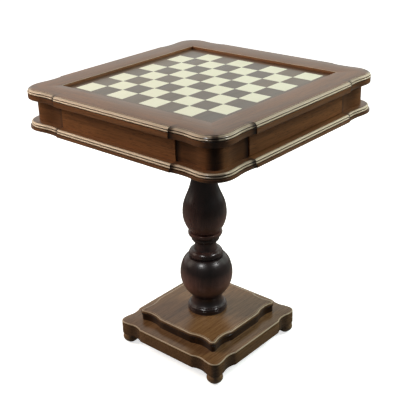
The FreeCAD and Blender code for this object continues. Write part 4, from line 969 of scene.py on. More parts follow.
@dataclass(frozen=True)
class Moulding:
    """Edge moulding of a rail in millimetres: fascia, quirk, bead, quirk, nose and fillet step.

    A size that ends in _in is measured from the line of the edge inwards, one
    that ends in _drop from the top face down.
    """

    fascia_in: float
    fascia_drop: float
    quirk_in: float
    bead_in: float
    bead_drop: float
    cap_in: float
    cap_drop: float
    nose_in: float
    nose_drop: float
    nose_radius: float
    nose_steps: int
    flat_in: float
    fillet: float
    bead_radius: float = 1.75
    bead_steps: int = 5
    fascia_round: float = 2.5

    def outline(self, inner: float, foot: float, top: float) -> Outline:
        """Start a section on its underside and draw the moulding up to the top face.

        Args:
            inner: inset at which the underside starts.
            foot: height of the underside.
            top: height of the top face.

        Returns:
            The section so far.
        """
        fascia_top, cap_foot = top - self.fascia_drop, top - self.cap_drop
        bead_at, bead_back = top - self.bead_drop, self.bead_in + self.bead_radius
        bead_foot, bead_top = bead_at - self.bead_radius, bead_at + self.bead_radius
        line = Outline(inner, foot).line(self.fascia_in, foot, self.fascia_round)
        line.line(self.fascia_in, fascia_top, EASED).line(self.quirk_in, fascia_top)
        line.line(self.quirk_in, bead_foot).line(bead_back, bead_foot)
        line.arc(self.bead_in, bead_at, self.bead_radius, steps=self.bead_steps)
        line.arc(bead_back, bead_top, self.bead_radius, steps=self.bead_steps)
        line.line(self.quirk_in, bead_top).line(self.quirk_in, cap_foot).line(self.cap_in, cap_foot, CRISP)
        line.arc(self.nose_in, top - self.nose_drop, self.nose_radius, steps=self.nose_steps)
        return line.line(self.flat_in, top - self.fillet, KEEN).line(self.flat_in, top, CRISP)


@dataclass
class MouldedFrame:
    """Four mitred rails with one moulding on their wavy outer edge and a rebate inside.

    The rebate's wall stands at a distance from the centre, and its ledge has
    a width and a height.  From a height up the ridges turn pale, partly rubbed
    and partly a painted highlight.  The rails' figures start at a seed and lie
    a step apart.
    """

    node: str
    seed: float
    foot: float
    thickness: float
    moulding: Moulding
    wall: float
    ledge: float
    ledge_height: float
    pale_ridges_from: float
    edge: WavyEdge = RAIL_EDGE
    wall_ease: float = 0.0
    screw_show: float = 0.0
    strip_width: float = 32.0
    seed_step: float = 1.3
    finish: Wood = STAINED

    def section(self) -> np.ndarray:
        """Draw the section, from the ledge round the moulding to the rebate.

        Returns:
            Its points as inset and height, closed.
        """
        wall, top = self.edge.half - self.wall, self.thickness
        inner = wall + self.ledge
        line = self.moulding.outline(inner, self.screw_show, top)
        line.line(self.strip_width, top).line(wall, top, self.wall_ease)
        return line.line(wall, self.ledge_height).line(inner, self.ledge_height).points()

    def rail(self, side: Side) -> Surface:
        """Carry the section along a side from mitre to mitre.

        A point of the moulded strip follows the wavy edge at its own inset.
        A point farther in keeps its distance from the centre, and goes along
        in step with the strip's inner edge, so that it ends on the mitre.

        Args:
            side: side of the table.

        Returns:
            The rail's surface.
        """
        section = self.section()
        inset, height = section[:, 0], section[:, 1]
        along, out = self.edge.half_side(np.minimum(inset, self.strip_width))
        pace = self.edge.half_side(np.array([self.strip_width]))[0]
        inner = inset > self.strip_width
        straight = self.edge.half - inset[inner]
        along[:, inner] = pace / pace[-1] * straight
        out[:, inner] = straight
        # Staining and painted shade from the edge, faded out across the flat top.
        stain = self.edge.stain(along, out, inset) * np.interp(inset, STAIN_AND_SHADE_FADE, (1.0, 0.0))
        x, y = side.turned(mirrored(along, -1), mirrored(out))
        level = np.broadcast_to(self.foot + height, x.shape)
        return Surface().grid(np.stack([x, y, level], axis=-1), pale_ridges_above(section, self.pale_ridges_from),
                              stain=mirrored(stain), loop_columns=True, caps=True)

    def build(self) -> None:
        """Make the four rails."""
        for side in Side:
            name = f"{self.node}_{side.word}"
            material = self.finish.dress(rail_grain(side), self.seed_step * side.value + self.seed)
            self.rail(side).piece(f"{name}_moulding", "table", material, name)


@dataclass
class TopFrame(MouldedFrame):
    """Frame round the board; its rebate is the recess of the board."""

    node: str = "top_rail"
    seed: float = 6.675
    foot: float = 667.5
    thickness: float = 23.5
    moulding: Moulding = Moulding(
        fascia_in=0.5, fascia_drop=11.6, quirk_in=3.6, bead_in=0.0, bead_drop=8.25, cap_in=1.5,
        cap_drop=4.4, nose_in=7.2, nose_drop=0.9, nose_radius=6.5, nose_steps=10, flat_in=8.0, fillet=0.8)
    wall: float = 221.5
    ledge: float = 12.0
    ledge_height: float = 5.5
    pale_ridges_from: float = 12.0
    wall_ease: float = 0.6


@dataclass
class LowerFrame(MouldedFrame):
    """Frame under the apron; its rebate holds the bottom panel.

    The underside is raised a little, so that the flush screws in it show.
    """

    node: str = "lower_rail"
    seed: float = 5.973
    foot: float = 597.3
    thickness: float = 17.7
    moulding: Moulding = Moulding(
        fascia_in=-1.0, fascia_drop=11.0, quirk_in=5.0, bead_in=1.8, bead_drop=8.2, cap_in=2.5,
        cap_drop=3.8, nose_in=5.7, nose_drop=0.6, nose_radius=3.2, nose_steps=8, flat_in=6.3, fillet=0.6)
    wall: float = 245.0
    ledge: float = 11.0
    ledge_height: float = 5.7
    pale_ridges_from: float = 7.0
    edge: WavyEdge = replace(RAIL_EDGE, corner_stain=0.5)
    screw_show: float = 0.1


@dataclass
class CornerBlocks:
    """Four blocks of the apron whose outer faces follow the mouldings.

    The faces stay an inset behind the line of the edge.  From block to block
    the seed and the place along the fibres grow by a step.
    """

    edge: WavyEdge = RAIL_EDGE
    inset: float = 20.5
    inner: float = 235.5
    ease: float = 0.8
    foot: float = 615.0
    height: float = 52.5
    seed_step: float = 2.1
    fibre_step: float = 400.0
    finish: Wood = APRON_STAIN

    def plan(self) -> np.ndarray:
        """Draw the plan of the block between the front and the right side.

        Returns:
            Its points as X and Y, closed.
        """
        along, out = self.edge.half_side(np.array([self.inset]))
        dip_starts = RAIL_STATIONS[0] + 1
        curve = np.stack([along[:, 0], -out[:, 0]], axis=1)[dip_starts:]
        curve = np.concatenate([curve, -curve[-2::-1, ::-1]])
        line = Outline(self.edge.middle, -self.inner).line(*curve[0], self.ease)
        line.follow(curve[1:-1]).line(*curve[-1], self.ease)
        line.line(self.inner, -self.edge.middle).line(self.inner, -self.inner)
        return line.points()

    def block(self, turns: int) -> Surface:
        """Lift the plan from foot to top and turn it to its corner.

        The fibres are wrapped round the block: a point's place along them is
        its way along the plan.

        Args:
            turns: quarter turns from the corner at the front on the right.

        Returns:
            The block's surface.
        """
        plan = self.plan()
        way = np.concatenate([[0], np.cumsum(np.hypot(*np.diff(plan, axis=0).T))])
        x, y = plan.T
        for _ in range(turns):
            x, y = -y, x
        shape = (2, len(plan))
        level = np.broadcast_to(self.foot + np.array([0, self.height])[:, None], shape)
        places = np.stack([np.broadcast_to(x, shape), np.broadcast_to(y, shape), level], axis=-1)
        along_fibres = np.broadcast_to(way + self.fibre_step * turns, shape)
        wrap = np.stack([along_fibres, level, np.zeros(shape)], axis=-1)
        along, out = np.sort(np.abs(plan), axis=1).T
        # Staining and painted shade past the steps and in the dips; painted shade at the mitres.
        stain = self.edge.stain(along, out, np.full(len(plan), self.inset))
        return Surface().grid(places, np.zeros(len(plan)), wrap, stain, loop_columns=True, caps=True)

    def build(self) -> None:
        """Make the four blocks."""
        for turns, corner in enumerate(("front_right", "back_right", "back_left", "front_left")):
            node = f"corner_block_{corner}"
            material = self.finish.dress(Grain.WRAPPED, self.seed_step * turns)
            self.block(turns).piece(f"{node}_veneered", "table", material, node)


@dataclass
class Plinth:
    """Board with a wavy moulded edge and a hole for the tie rod.

    Below darkened_to the edge is darkened by at least band_stain, above
    it by at least nose_stain, and from pale_ridges_from up it holds no
    darkening, the staining and painted shade of the dips included, and its
    ridges turn pale, partly rubbed and partly a painted highlight.
    """

    node: str
    seed: float
    edge: WavyEdge
    foot: float
    thickness: float
    pale_ridges_from: float
    hole: float = 5.6
    band_stain: float = 0.0
    nose_stain: float = 0.0
    darkened_to: float = 0.0
    finish: Wood = PLINTH_STAIN

    def section(self) -> tuple[np.ndarray, np.ndarray]:
        """Draw what goes round the plinth.

        Returns:
            The edge from the bottom up, as inset and height, and the circles
            that close it, as radius and height.
        """
        raise NotImplementedError

    def surface(self) -> Surface:
        """Carry the section round the plinth.

        A point of the edge follows the wavy plan at its own inset; a point of
        the circles keeps its radius, in the direction of the edge beside it.

        Returns:
            The plinth's surface.
        """
        edge_line, circles = self.section()
        inset, height = edge_line[:, 0], edge_line[:, 1]
        along, out = self.edge.half_side(inset, PLINTH_STATIONS)
        # The band under the bead is darkened fully and the nose above it by a share; all darkening stops
        # where the pale ridges begin.
        cover = np.where(height < self.darkened_to, self.band_stain, self.nose_stain)
        stain = np.maximum(self.edge.stain(along, out, inset), cover) * (height < self.pale_ridges_from)
        along, out, stain = mirrored(along, -1)[:-1], mirrored(out)[:-1], mirrored(stain)[:-1]
        x, y = (np.concatenate(parts) for parts in zip(*(side.turned(along, out) for side in Side)))
        angle = np.arctan2(y[:, :1], x[:, :1])
        x = np.concatenate([x, circles[:, 0] * np.cos(angle)], axis=1)
        y = np.concatenate([y, circles[:, 0] * np.sin(angle)], axis=1)
        level = np.broadcast_to(self.foot + np.concatenate([height, circles[:, 1]]), x.shape)
        unworn = (0, len(circles))
        ridge_and_groove = np.pad(pale_ridges_above(edge_line, self.pale_ridges_from, closed=False), unworn)
        stain = np.pad(np.tile(stain, (len(Side), 1)), ((0, 0), unworn))
        return Surface().grid(np.stack([x, y, level], axis=-1), ridge_and_groove, stain=stain, loop_rows=True,
                              loop_columns=True)

    def build(self) -> None:
        """Make the plinth."""
        material = self.finish.dress(Grain.Y, self.seed)
        self.surface().piece(f"{self.node}_moulded", "table", material, self.node)


@dataclass
class UpperPlinth(Plinth):
    """Smaller plinth under the column: band, bead, quirk, rounded nose and fillet step."""

    node: str = "upper_plinth"
    seed: float = 6.2
    edge: WavyEdge = WavyEdge(half=125.5, end=73, dip_in=41.5, dip=7, ear=2, corner=9)
    foot: float = 62.0
    thickness: float = 27.0
    pale_ridges_from: float = 25.4
    band_stain: float = 1.0
    nose_stain: float = 1 / 3
    darkened_to: float = 20.5
    band: float = 14.5
    band_in: float = 2.0
    bead: float = 3.5
    bead_in: float = 0.6
    bead_round: float = 1.0
    quirk: float = 1.5
    quirk_in: float = 2.2
    nose_round: float = 4.5
    flat_in: float = 6.0
    fillet: float = 0.8
    top_strip: float = 1.0

    def section(self) -> tuple[np.ndarray, np.ndarray]:
        """Draw the moulded edge and the hole.

        Returns:
            The edge as inset and height, and the circles as radius and height.
        """
        bead_top, nose_top = self.band + self.bead, self.thickness - self.fillet
        quirk_top, bead_back = bead_top + self.quirk, self.bead_in + self.bead_round
        line = Outline(self.band_in, 0).line(self.band_in, self.band).line(bead_back, self.band)
        line.arc(self.bead_in, self.band + self.bead_round, self.bead_round, steps=4)
        line.line(self.bead_in, bead_top - self.bead_round)
        line.arc(bead_back, bead_top, self.bead_round, steps=4)
        line.line(self.quirk_in, bead_top).line(self.quirk_in, quirk_top).line(0, quirk_top, CRISP)
        line.line(0, nose_top - self.nose_round).arc(self.nose_round, nose_top, self.nose_round, steps=8)
        line.line(self.flat_in, nose_top, KEEN).line(self.flat_in, self.thickness, CRISP)
        line.line(self.flat_in + self.top_strip, self.thickness)
        circles = [[self.hole, self.thickness], [self.hole, 0.0]]
        return line.points(closed=False), np.array(circles)


@dataclass
class LowerPlinth(Plinth):
    """Larger plinth on the feet, with a counterbore for nut and washer.

    The underside is raised a little, so that the flush screws in it show.
    """

    node: str = "lower_plinth"
    seed: float = 2.6
    edge: WavyEdge = WavyEdge(half=163, end=75.5, dip_in=53, dip=6, ear=1, corner=17)
    foot: float = 26.0
    thickness: float = 36.0
    pale_ridges_from: float = 33.0
    screw_show: float = 0.1
    lower_round: float = 1.5
    quirk: float = 1.0
    quirk_in: float = 0.8
    bead: float = 4.0
    bead_round: float = 2.4
    bore: float = 17.0
    bore_depth: float = 14.0

    def section(self) -> tuple[np.ndarray, np.ndarray]:
        """Draw the moulded edge, the hole and the counterbore.

        Returns:
            The edge as inset and height, and the circles as radius and height.
        """
        bead_foot = self.thickness - self.bead
        quirk_foot = bead_foot - self.quirk
        line = Outline(self.lower_round, self.screw_show)
        line.arc(0, self.lower_round, self.lower_round, steps=4).line(0, quirk_foot)
        line.line(self.quirk_in, quirk_foot).line(self.quirk_in, bead_foot).line(0, bead_foot, KEEN)
        line.line(0, self.thickness - self.bead_round)
        line.arc(self.bead_round, self.thickness, self.bead_round, steps=6)
        circles = [[self.hole, self.thickness], [self.hole, self.bore_depth], [self.bore, self.bore_depth],
                   [self.bore, self.screw_show]]
        return line.points(closed=False), np.array(circles)


@dataclass(frozen=True)
class Ball:
    """Lower turned piece: ring, dome, neck, ball and groove, in millimetres from its foot.

    The dome's flare and the neck's arc meet upright, the neck's arc runs on
    into the ball's lower arc, and the shoulder goes on from the ball's upper
    arc at a tangent.
    """

    length: float = 152.0
    ring_radius: float = 49.9
    ring_height: float = 9.5
    ring_quirk: float = 1.0
    dome_top: float = 17.0
    dome_inner: float = 43.5
    dome_arc: float = 8.0
    neck_radius: float = 37.5
    neck_rise: float = 17.0
    neck_arc: float = 16.0
    radius: float = 66.0
    crown: float = 51.0
    upper_arc: float = 85.0
    upper_rise: float = 30.0
    shoulder_radius: float = 46.5
    groove_height: float = 1.5
    groove_radius: float = 40.5

    def outline(self, hole: float) -> np.ndarray:
        """Draw the piece's outline.

        Args:
            hole: radius of the hole for the tie rod.

        Returns:
            Its points as radius and height, closed.
        """
        neck_at, widest = self.dome_top + self.neck_rise, self.length - self.crown
        flare = flare_radius(self.neck_rise, self.dome_inner - self.neck_radius)
        rise, swell = widest - neck_at, self.radius - self.neck_radius
        both = flare_radius(rise, swell)
        tuck = (self.neck_radius + self.neck_arc * swell / both, neck_at + self.neck_arc * rise / both)
        sine = self.upper_rise / self.upper_arc
        cosine = math.sqrt(1 - sine ** 2)
        upper = (self.radius - self.upper_arc * (1 - cosine), widest + self.upper_rise)
        groove_at = self.length - self.groove_height
        run, fall = groove_at - upper[1], upper[0] - self.shoulder_radius
        shoulder = (run ** 2 + fall ** 2) / (2 * (cosine * fall - sine * run))
        line = Outline(hole, 0).line(self.ring_radius, 0, EASED)
        line.line(self.ring_radius, self.ring_height, SOFT)
        line.line(self.ring_radius - self.ring_quirk, self.ring_height)
        line.arc(self.dome_inner, self.dome_top, self.dome_arc, left=True, steps=10)
        line.arc(self.neck_radius, neck_at, flare, steps=10).arc(*tuck, self.neck_arc, steps=10)
        line.arc(self.radius, widest, both - self.neck_arc, left=True, steps=22)
        line.arc(*upper, self.upper_arc, left=True, steps=12)
        line.arc(self.shoulder_radius, groove_at, shoulder, left=True, steps=10)
        line.line(self.groove_radius, groove_at).line(self.groove_radius, self.length)
        return line.line(hole, self.length).points()


@dataclass(frozen=True)
class Vase:
    """Upper turned piece: saucer, waist, collar, ring, vase, bead and capital, in millimetres."""

    length: float = 340.0
    saucer_foot: float = 41.3
    saucer_radius: float = 42.8
    saucer_edge: float = 4.5
    saucer_arc: float = 6.0
    saucer_dome: float = 13.0
    waist_radius: float = 26.9
    waist_at: float = 31.5
    collar_radius: float = 29.0
    collar_at: float = 40.0
    band_inner: float = 31.5
    band_radius: float = 35.3
    band_height: float = 12.0
    band_arc: float = 12.0
    quirk_radius: float = 32.5
    quirk_height: float = 2.0
    ring_inner: float = 38.5
    ring_radius: float = 43.0
    ring_height: float = 9.0
    ring_arc: float = 12.0
    lip: float = 2.5
    lip_in: float = 0.7
    belly_radius: float = 54.6
    belly_at: float = 116.0
    belly_lower_arc: float = 75.0
    belly_upper_arc: float = 105.0
    throat_radius: float = 25.5
    throat_at: float = 249.0
    neck_radius: float = 28.5
    neck_at: float = 261.0
    bead_radius: float = 31.0
    bead_height: float = 12.0
    bead_arc: float = 6.5
    capital_foot: float = 28.0
    capital_flare: float = 45.0
    capital_radius: float = 48.0
    capital_height: float = 23.0

    def outline(self, hole: float) -> np.ndarray:
        """Draw the piece's outline.

        Args:
            hole: radius of the hole for the tie rod.

        Returns:
            Its points as radius and height, closed.
        """
        line = Outline(hole, 0)
        self.collar(line)
        self.body(line)
        self.capital(line)
        return line.line(hole, self.length).points()

    @property
    def lip_at(self) -> float:
        """Return the height of the lip on the ring."""
        return self.collar_at + self.band_height + self.quirk_height + self.ring_height + self.lip

    def collar(self, line: Outline) -> None:
        """Draw the saucer, the waist, the collar's band and the ring with its lip.

        Args:
            line: outline that stands at the hole's lower end.
        """
        dome = (self.saucer_radius - self.saucer_dome, self.saucer_edge + self.saucer_dome)
        below = flare_radius(self.waist_at - dome[1], dome[0] - self.waist_radius)
        above = flare_radius(self.collar_at - self.waist_at, self.collar_radius - self.waist_radius)
        band_top = self.collar_at + self.band_height
        ring_foot = band_top + self.quirk_height
        line.line(self.saucer_foot, 0)
        line.arc(self.saucer_radius, self.saucer_edge, self.saucer_arc, left=True, steps=5)
        line.arc(*dome, self.saucer_dome, left=True, steps=12)
        line.arc(self.waist_radius, self.waist_at, below, steps=10)
        line.arc(self.collar_radius, self.collar_at, above, steps=7)
        line.line(self.band_inner, self.collar_at, EASED)
        line.arc(self.band_radius, band_top, self.band_arc, left=True, steps=8)
        line.line(self.quirk_radius, band_top).line(self.quirk_radius, ring_foot)
        line.line(self.ring_inner, ring_foot, SOFT)
        line.arc(self.ring_radius, ring_foot + self.ring_height, self.ring_arc, left=True, steps=8)
        line.line(self.ring_radius - self.lip_in, self.lip_at, EASED)

    def body(self, line: Outline) -> None:
        """Draw the vase from the lip up to its throat.

        The belly's lower arc starts where it meets the lip; its upper arc
        runs on at a tangent into the throat's.

        Args:
            line: outline that stands at the lip.
        """
        rise = self.belly_at - self.lip_at
        crease = self.belly_radius - self.belly_lower_arc + math.sqrt(self.belly_lower_arc ** 2 - rise ** 2)
        length, swell = self.throat_at - self.belly_at, self.belly_radius - self.throat_radius
        both = flare_radius(length, swell)
        join = (self.belly_radius - self.belly_upper_arc * swell / both,
                self.belly_at + self.belly_upper_arc * length / both)
        line.line(crease, self.lip_at)
        line.arc(self.belly_radius, self.belly_at, self.belly_lower_arc, left=True, steps=20)
        line.arc(*join, self.belly_upper_arc, left=True, steps=16)
        line.arc(self.throat_radius, self.throat_at, both - self.belly_upper_arc, steps=22)

    def capital(self, line: Outline) -> None:
        """Draw the throat's flare, the neck bead and the capital.

        Args:
            line: outline that stands at the throat.
        """
        bead_top, capital_at = self.neck_at + self.bead_height, self.length - self.capital_height
        throat = flare_radius(self.neck_at - self.throat_at, self.neck_radius - self.throat_radius)
        hollow = flare_radius(capital_at - bead_top, self.capital_flare - self.capital_foot)
        line.arc(self.neck_radius, self.neck_at, throat, steps=6)
        line.line(self.bead_radius, self.neck_at, CRISP)
        line.arc(self.bead_radius, bead_top, self.bead_arc, left=True, steps=10)
        line.line(self.capital_foot, bead_top)
        line.arc(self.capital_flare, capital_at, hollow, steps=14)
        line.line(self.capital_radius, capital_at, SOFT).line(self.capital_radius, self.length)


@dataclass
class Column:
    """Two turned pieces on the tie rod, with their feet and the painted shade that darkens them with
    height.
    """

    hole: float = 5.6
    ball: Ball = Ball()
    vase: Vase = Vase()
    ball_foot: float = 89.0
    # Painted shade by height: dark under the table top, on the rings and in the undercuts; where it falls
    # to nothing, the lighter wood is a painted reflection of the lit plinth and floor.
    ball_painted_shade: Shade = ((0.0, 1.0), (20.0, 0.95), (45.0, 1.0), (62.0, 0.3), (82.0, 0.0), (101.0, 0.35),
                         (125.0, 1.0))
    vase_painted_shade: Shade = ((0.0, 1.0), (31.0, 0.8), (52.0, 1.0), (62.0, 0.4), (70.0, 0.0), (95.0, 0.1),
                         (125.0, 0.8), (160.0, 1.0))
    finish: Wood = TURNED

    def build(self) -> None:
        """Make both pieces."""
        vase_foot = self.ball_foot + self.ball.length
        pieces = (("column_ball", self.ball, self.ball_foot, self.ball_painted_shade),
                  ("column_vase", self.vase, vase_foot, self.vase_painted_shade))
        for seed, (node, turning, foot, shade) in enumerate(pieces, start=1):
            turned(turning.outline(self.hole), foot=foot, shade=shade).piece(
                f"{node}_turned", "table", self.finish.dress(Grain.Z, seed), node, self.finish.name)


@dataclass
class Feet:
    """Four bun feet under the corners of the lower plinth, each on its felt pad."""

    at: float = 142.5
    top: float = 26.0
    pad: float = 2.0
    core: float = 0.5
    radius: float = 20.0
    widest: float = 14.0
    bottom_radius: float = 11.5
    top_radius: float = 15.5
    seed: float = 3.0
    finish: Wood = PLINTH_STAIN

    def bun(self) -> np.ndarray:
        """Draw a foot: two arcs that meet upright at its widest.

        Returns:
            Its points as radius and height, closed round a thin core.
        """
        lower = flare_radius(self.widest - self.pad, self.radius - self.bottom_radius)
        upper = flare_radius(self.top - self.widest, self.radius - self.top_radius)
        line = Outline(self.core, self.pad).line(self.bottom_radius, self.pad, EASED)
        line.arc(self.radius, self.widest, lower, left=True, steps=9)
        line.arc(self.top_radius, self.top, upper, left=True, steps=8)
        return line.line(self.core, self.top).points()

    def build(self) -> None:
        """Make the four feet."""
        for end, north in (("front", -1), ("back", 1)):
            for hand, east in (("left", -1), ("right", 1)):
                node = f"foot_{end}_{hand}"
                material = self.finish.dress(Grain.Z, self.seed + north + 2 * east)
                turned(self.bun(), (east * self.at, north * self.at), segments=56).piece(
                    f"{node}_turned", "table", material, node)


@dataclass
class KeptNodes:
    """Nodes that keep their own mesh and only get a finish.

    The length of a node's name is its seed; those of the aprons lie closer.
    """

    apron_seeds: float = 3.0
    apron_parts: dict[str, Grain] = field(default_factory=lambda: {
        "apron_front": Grain.X, "apron_back": Grain.X, "drawer_front_right": Grain.Y,
        "drawer_front_left": Grain.Y})
    drawer_parts: dict[str, Grain] = field(default_factory=lambda: {
        "side_front": Grain.X, "side_back": Grain.X, "back": Grain.Y})
    frame_beech: dict[str, Grain] = field(default_factory=lambda: {
        "apron_glue_blocks": Grain.X, "drawer_guide_front": Grain.X, "drawer_guide_back": Grain.X,
        "drawer_partition": Grain.Y, "drawer_stop_right": Grain.Y, "drawer_stop_left": Grain.Y,
        "top_rail_tongues": Grain.X, "lower_rail_tongues": Grain.X})
    fastenings: tuple[str, ...] = ("tie_rod", "tie_rod_nuts", "tie_rod_washers", "rail_screws",
                                   "cleat_screws", "plinth_screws")

    def cover(self, node: str, material: bpy.types.Material) -> None:
        """Give a node one material.

        Args:
            node: name of the node.
            material: the finish for all its slots.
        """
        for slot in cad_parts[node].material_slots:
            slot.material = material
        LOG.info("%s: %s", node, material.name)

    def board(self) -> None:
        """Dress the squares, the border and the panel under them."""
        self.cover("light_squares", MAPLE_VENEER.dress(Grain.Y))
        self.cover("dark_squares", WALNUT_VENEER.dress(Grain.Y, seed=5))
        for side in Side:
            self.cover(f"board_border_{side.word}", BORDER_VENEER.dress(rail_grain(side), side.value))
        self.cover("board_panel", PLYWOOD.dress(Grain.X, seed=4))

    def apron_box(self) -> None:
        """Dress the aprons, the beech inside them, the bottom panel and the cleat."""
        for node, grain in self.apron_parts.items():
            self.cover(node, APRON_STAIN.dress(grain, len(node) / self.apron_seeds))
        for node, grain in self.frame_beech.items():
            self.cover(node, BEECH.dress(grain, len(node)))
        self.cover("bottom_panel", PANEL_STAIN.dress(Grain.X))
        self.cover("column_cleat", STAINED.dress(Grain.X, seed=9))

    def drawer(self, hand: str) -> None:
        """Dress a drawer behind its front.

        Args:
            hand: right or left.
        """
        for part, grain in self.drawer_parts.items():
            self.cover(f"drawer_{hand}_{part}", BEECH.dress(grain, len(part)))
        self.cover(f"drawer_{hand}_bottom", PLYWOOD.dress(Grain.Y, seed=2))
        self.cover(f"drawer_{hand}_lining", GREEN_FELT.dress())

    def build(self) -> None:
        """Dress the board, the apron box, the drawers, the fastenings and the pads."""
        self.board()
        self.apron_box()
        for hand in ("right", "left"):
            self.drawer(hand)
        steel = Zinc().dress()
        for node in self.fastenings:
            self.cover(node, steel)
        self.cover("foot_pads", BROWN_FELT.dress())


# -------------------------------------------------------------------- studio


WHITE = (1.0, 1.0, 1.0)
WARM = (1.0, 0.88, 0.76)
COOL = (0.90, 1.0, 0.90)


class Lamp(Enum):
    """What a lamp does; the values say whether matt and glossy surfaces see it."""

    KEY = (True, False)
    SHEEN = (False, True)


@dataclass(frozen=True)
class SoftBox:
    """Rectangular lamp: place and size in metres, power in watts, colour and what it does."""

    name: str
    place: Point
    size: tuple[float, float]
    power: float
    colour: Colour
    role: Lamp

    def hang(self, aim: Point) -> None:
        """Hang the lamp.

        Args:
            aim: point that it faces.
        """
        data = bpy.data.lights.new(self.name, "AREA")
        data.shape, data.energy, data.color = "RECTANGLE", self.power, self.colour
        data.size, data.size_y = self.size
        lamp = bpy.data.objects.new(self.name, data)
        turn = (Vector(self.place) - Vector(aim)).to_track_quat("Z", "Y")
        lamp.matrix_world = Matrix.Translation(self.place) @ turn.to_matrix().to_4x4()
        lamp.visible_diffuse, lamp.visible_glossy = self.role.value
        bpy.context.scene.collection.objects.link(lamp)


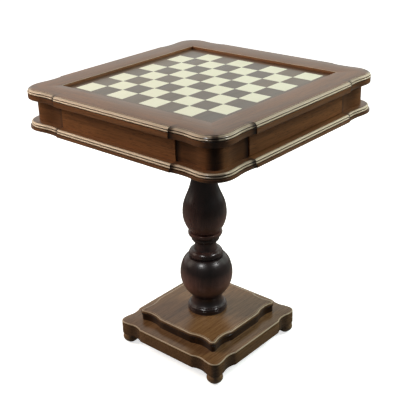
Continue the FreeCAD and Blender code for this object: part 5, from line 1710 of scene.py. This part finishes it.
@dataclass
class Studio:
    """White studio: pale floor, soft fill, and soft boxes high on the left, the right and in front."""

    image_px: float = 400.0
    focal_px: float = 814.54
    sensor_mm: float = 36.0
    azimuth_deg: float = 41.893
    elevation_deg: float = 24.247
    roll_deg: float = -1.9115
    offset_squares: Point = (-0.02776, -5.40398, 37.17683)
    square: float = 0.05
    board_top: float = 0.684
    clip_end: float = 50.0
    aim: Point = (0.0, 0.0, 0.6)
    fill: float = 0.095
    sweep: Point = (-0.668, 0.744, 0.0)
    sweep_range: tuple[float, float, float, float] = (0.2, 0.75, 0.12, 0.90)
    sweep_colour: Colour = (0.95, 0.98, 0.93)
    floor_reach: float = 6.0
    floor_white: Colour = (0.86, 0.86, 0.86)
    floor_grey: Colour = (0.17, 0.165, 0.16)
    floor_glow: tuple[float, float, float, float] = (0.25, 0.9, 0.7, 1.0)
    lamps: tuple[SoftBox, ...] = (
        SoftBox("key_left", (-1.58, -1.20, 1.56), (0.9, 1.4), 50, WARM, Lamp.KEY),
        SoftBox("key_right", (1.20, 1.88, 1.60), (0.9, 1.4), 63, COOL, Lamp.KEY),
        SoftBox("sheen_left", (-1.58, -1.20, 1.58), (1.0, 1.8), 8, WARM, Lamp.SHEEN),
        SoftBox("sheen_right", (1.20, 1.88, 1.62), (1.0, 1.8), 6, COOL, Lamp.SHEEN),
        SoftBox("spot_front", (0.30, -1.45, 1.90), (0.45, 0.45), 18, WHITE, Lamp.SHEEN),
        SoftBox("spot_side", (1.72, 0.45, 1.90), (0.45, 0.45), 18, WHITE, Lamp.SHEEN),
    )

    def camera(self) -> None:
        """Place the camera from its bearing on the middle of the board.

        The back axis points from the table to the camera at the azimuth and
        elevation; right and up are square to it and turned by the roll; the
        camera's place is the sum of the axes times its offsets.
        """
        azimuth, elevation, roll = map(math.radians, (self.azimuth_deg, self.elevation_deg, self.roll_deg))
        back = Vector((math.sin(azimuth) * math.cos(elevation), -math.cos(azimuth) * math.cos(elevation),
                       math.sin(elevation)))
        level = Vector((0, 0, 1)).cross(back).normalized()
        upright = back.cross(level)
        right = level * math.cos(roll) + upright * math.sin(roll)
        up = upright * math.cos(roll) - level * math.sin(roll)
        place = sum((axis * given for axis, given in zip((right, up, back), self.offset_squares)), Vector())
        place = place * self.square + Vector((0, 0, self.board_top))
        data = bpy.data.cameras.new("camera")
        data.sensor_width = self.sensor_mm
        data.lens = self.focal_px / self.image_px * self.sensor_mm
        data.clip_end = self.clip_end
        camera = bpy.data.objects.new("camera", data)
        camera.matrix_world = Matrix.Translation(place) @ Matrix((right, up, back)).transposed().to_4x4()
        bpy.context.scene.collection.objects.link(camera)
        bpy.context.scene.camera = camera

    def sky(self) -> None:
        """Light all round softly: white to the eye, and to gloss white only behind the table.

        To gloss the brightness follows the direction's share towards the far
        end of the room, where a white paper sweep hangs.
        """
        world = bpy.data.worlds.new("studio")
        world.use_nodes = True
        bpy.context.scene.world = world
        graph = Graph(world.node_tree)
        towards = graph.add("ShaderNodeVectorMath", operation="DOT_PRODUCT")
        graph.feed(towards.inputs[0], graph.add("ShaderNodeTexCoord").outputs["Generated"])
        graph.feed(towards.inputs[1], self.sweep)
        gloss = graph.span(towards.outputs["Value"], *self.sweep_range)
        path = graph.add("ShaderNodeLightPath")
        fill = graph.span(path.outputs["Is Glossy Ray"], 0.0, 1.0, self.fill, gloss)
        background = graph.add("ShaderNodeBackground")
        graph.feed(background.inputs["Color"],
                   graph.mix(path.outputs["Is Glossy Ray"], rgba(WHITE), rgba(self.sweep_colour)))
        graph.feed(background.inputs["Strength"],
                   graph.calc("MAXIMUM", fill, path.outputs["Is Camera Ray"]))
        graph.feed(graph.add("ShaderNodeOutputWorld").inputs["Surface"], background.outputs[0])

    def floor(self) -> None:
        """Lay a pale floor that keeps the table's shadow and is plain white farther out."""
        reach = self.floor_reach
        mesh = bpy.data.meshes.new("floor")
        mesh.from_pydata([(-reach, -reach, 0), (reach, -reach, 0), (reach, reach, 0), (-reach, reach, 0)],
                         [], [(0, 1, 2, 3)])
        paint = Paint("floor_paper")
        seen = paint.add("ShaderNodeLightPath").outputs["Is Camera Ray"]
        far = paint.add("ShaderNodeVectorMath", operation="LENGTH")
        paint.feed(far.inputs[0], paint.place())
        glow = paint.span(far.outputs["Value"], *self.floor_glow)
        paint.set(Base_Color=paint.mix(seen, rgba(self.floor_grey), rgba(self.floor_white)), Roughness=1.0,
                  Specular_IOR_Level=0.0, Emission_Color=rgba(WHITE),
                  Emission_Strength=paint.calc("MULTIPLY", seen, glow))
        mesh.materials.append(paint.material)
        floor = bpy.data.objects.new("floor", mesh)
        bpy.context.scene.collection.objects.link(floor)

    def build(self) -> None:
        """Set the camera, the lights and the floor."""
        self.camera()
        self.sky()
        self.floor()
        for lamp in self.lamps:
            lamp.hang(self.aim)
        bpy.context.scene.view_settings.view_transform = "Standard"


def main() -> None:
    """Set up the studio, build each sub-assembly and note the sizes."""
    logging.basicConfig(level=logging.INFO, format="%(name)s: %(message)s")
    Studio().build()
    for assembly in (TopFrame(), LowerFrame(), CornerBlocks(), UpperPlinth(), LowerPlinth(), Column(),
                     Feet(), KeptNodes()):
        assembly.build()
        LOG.info("%s is built", type(assembly).__name__)


if __name__ == "__main__":
    main()
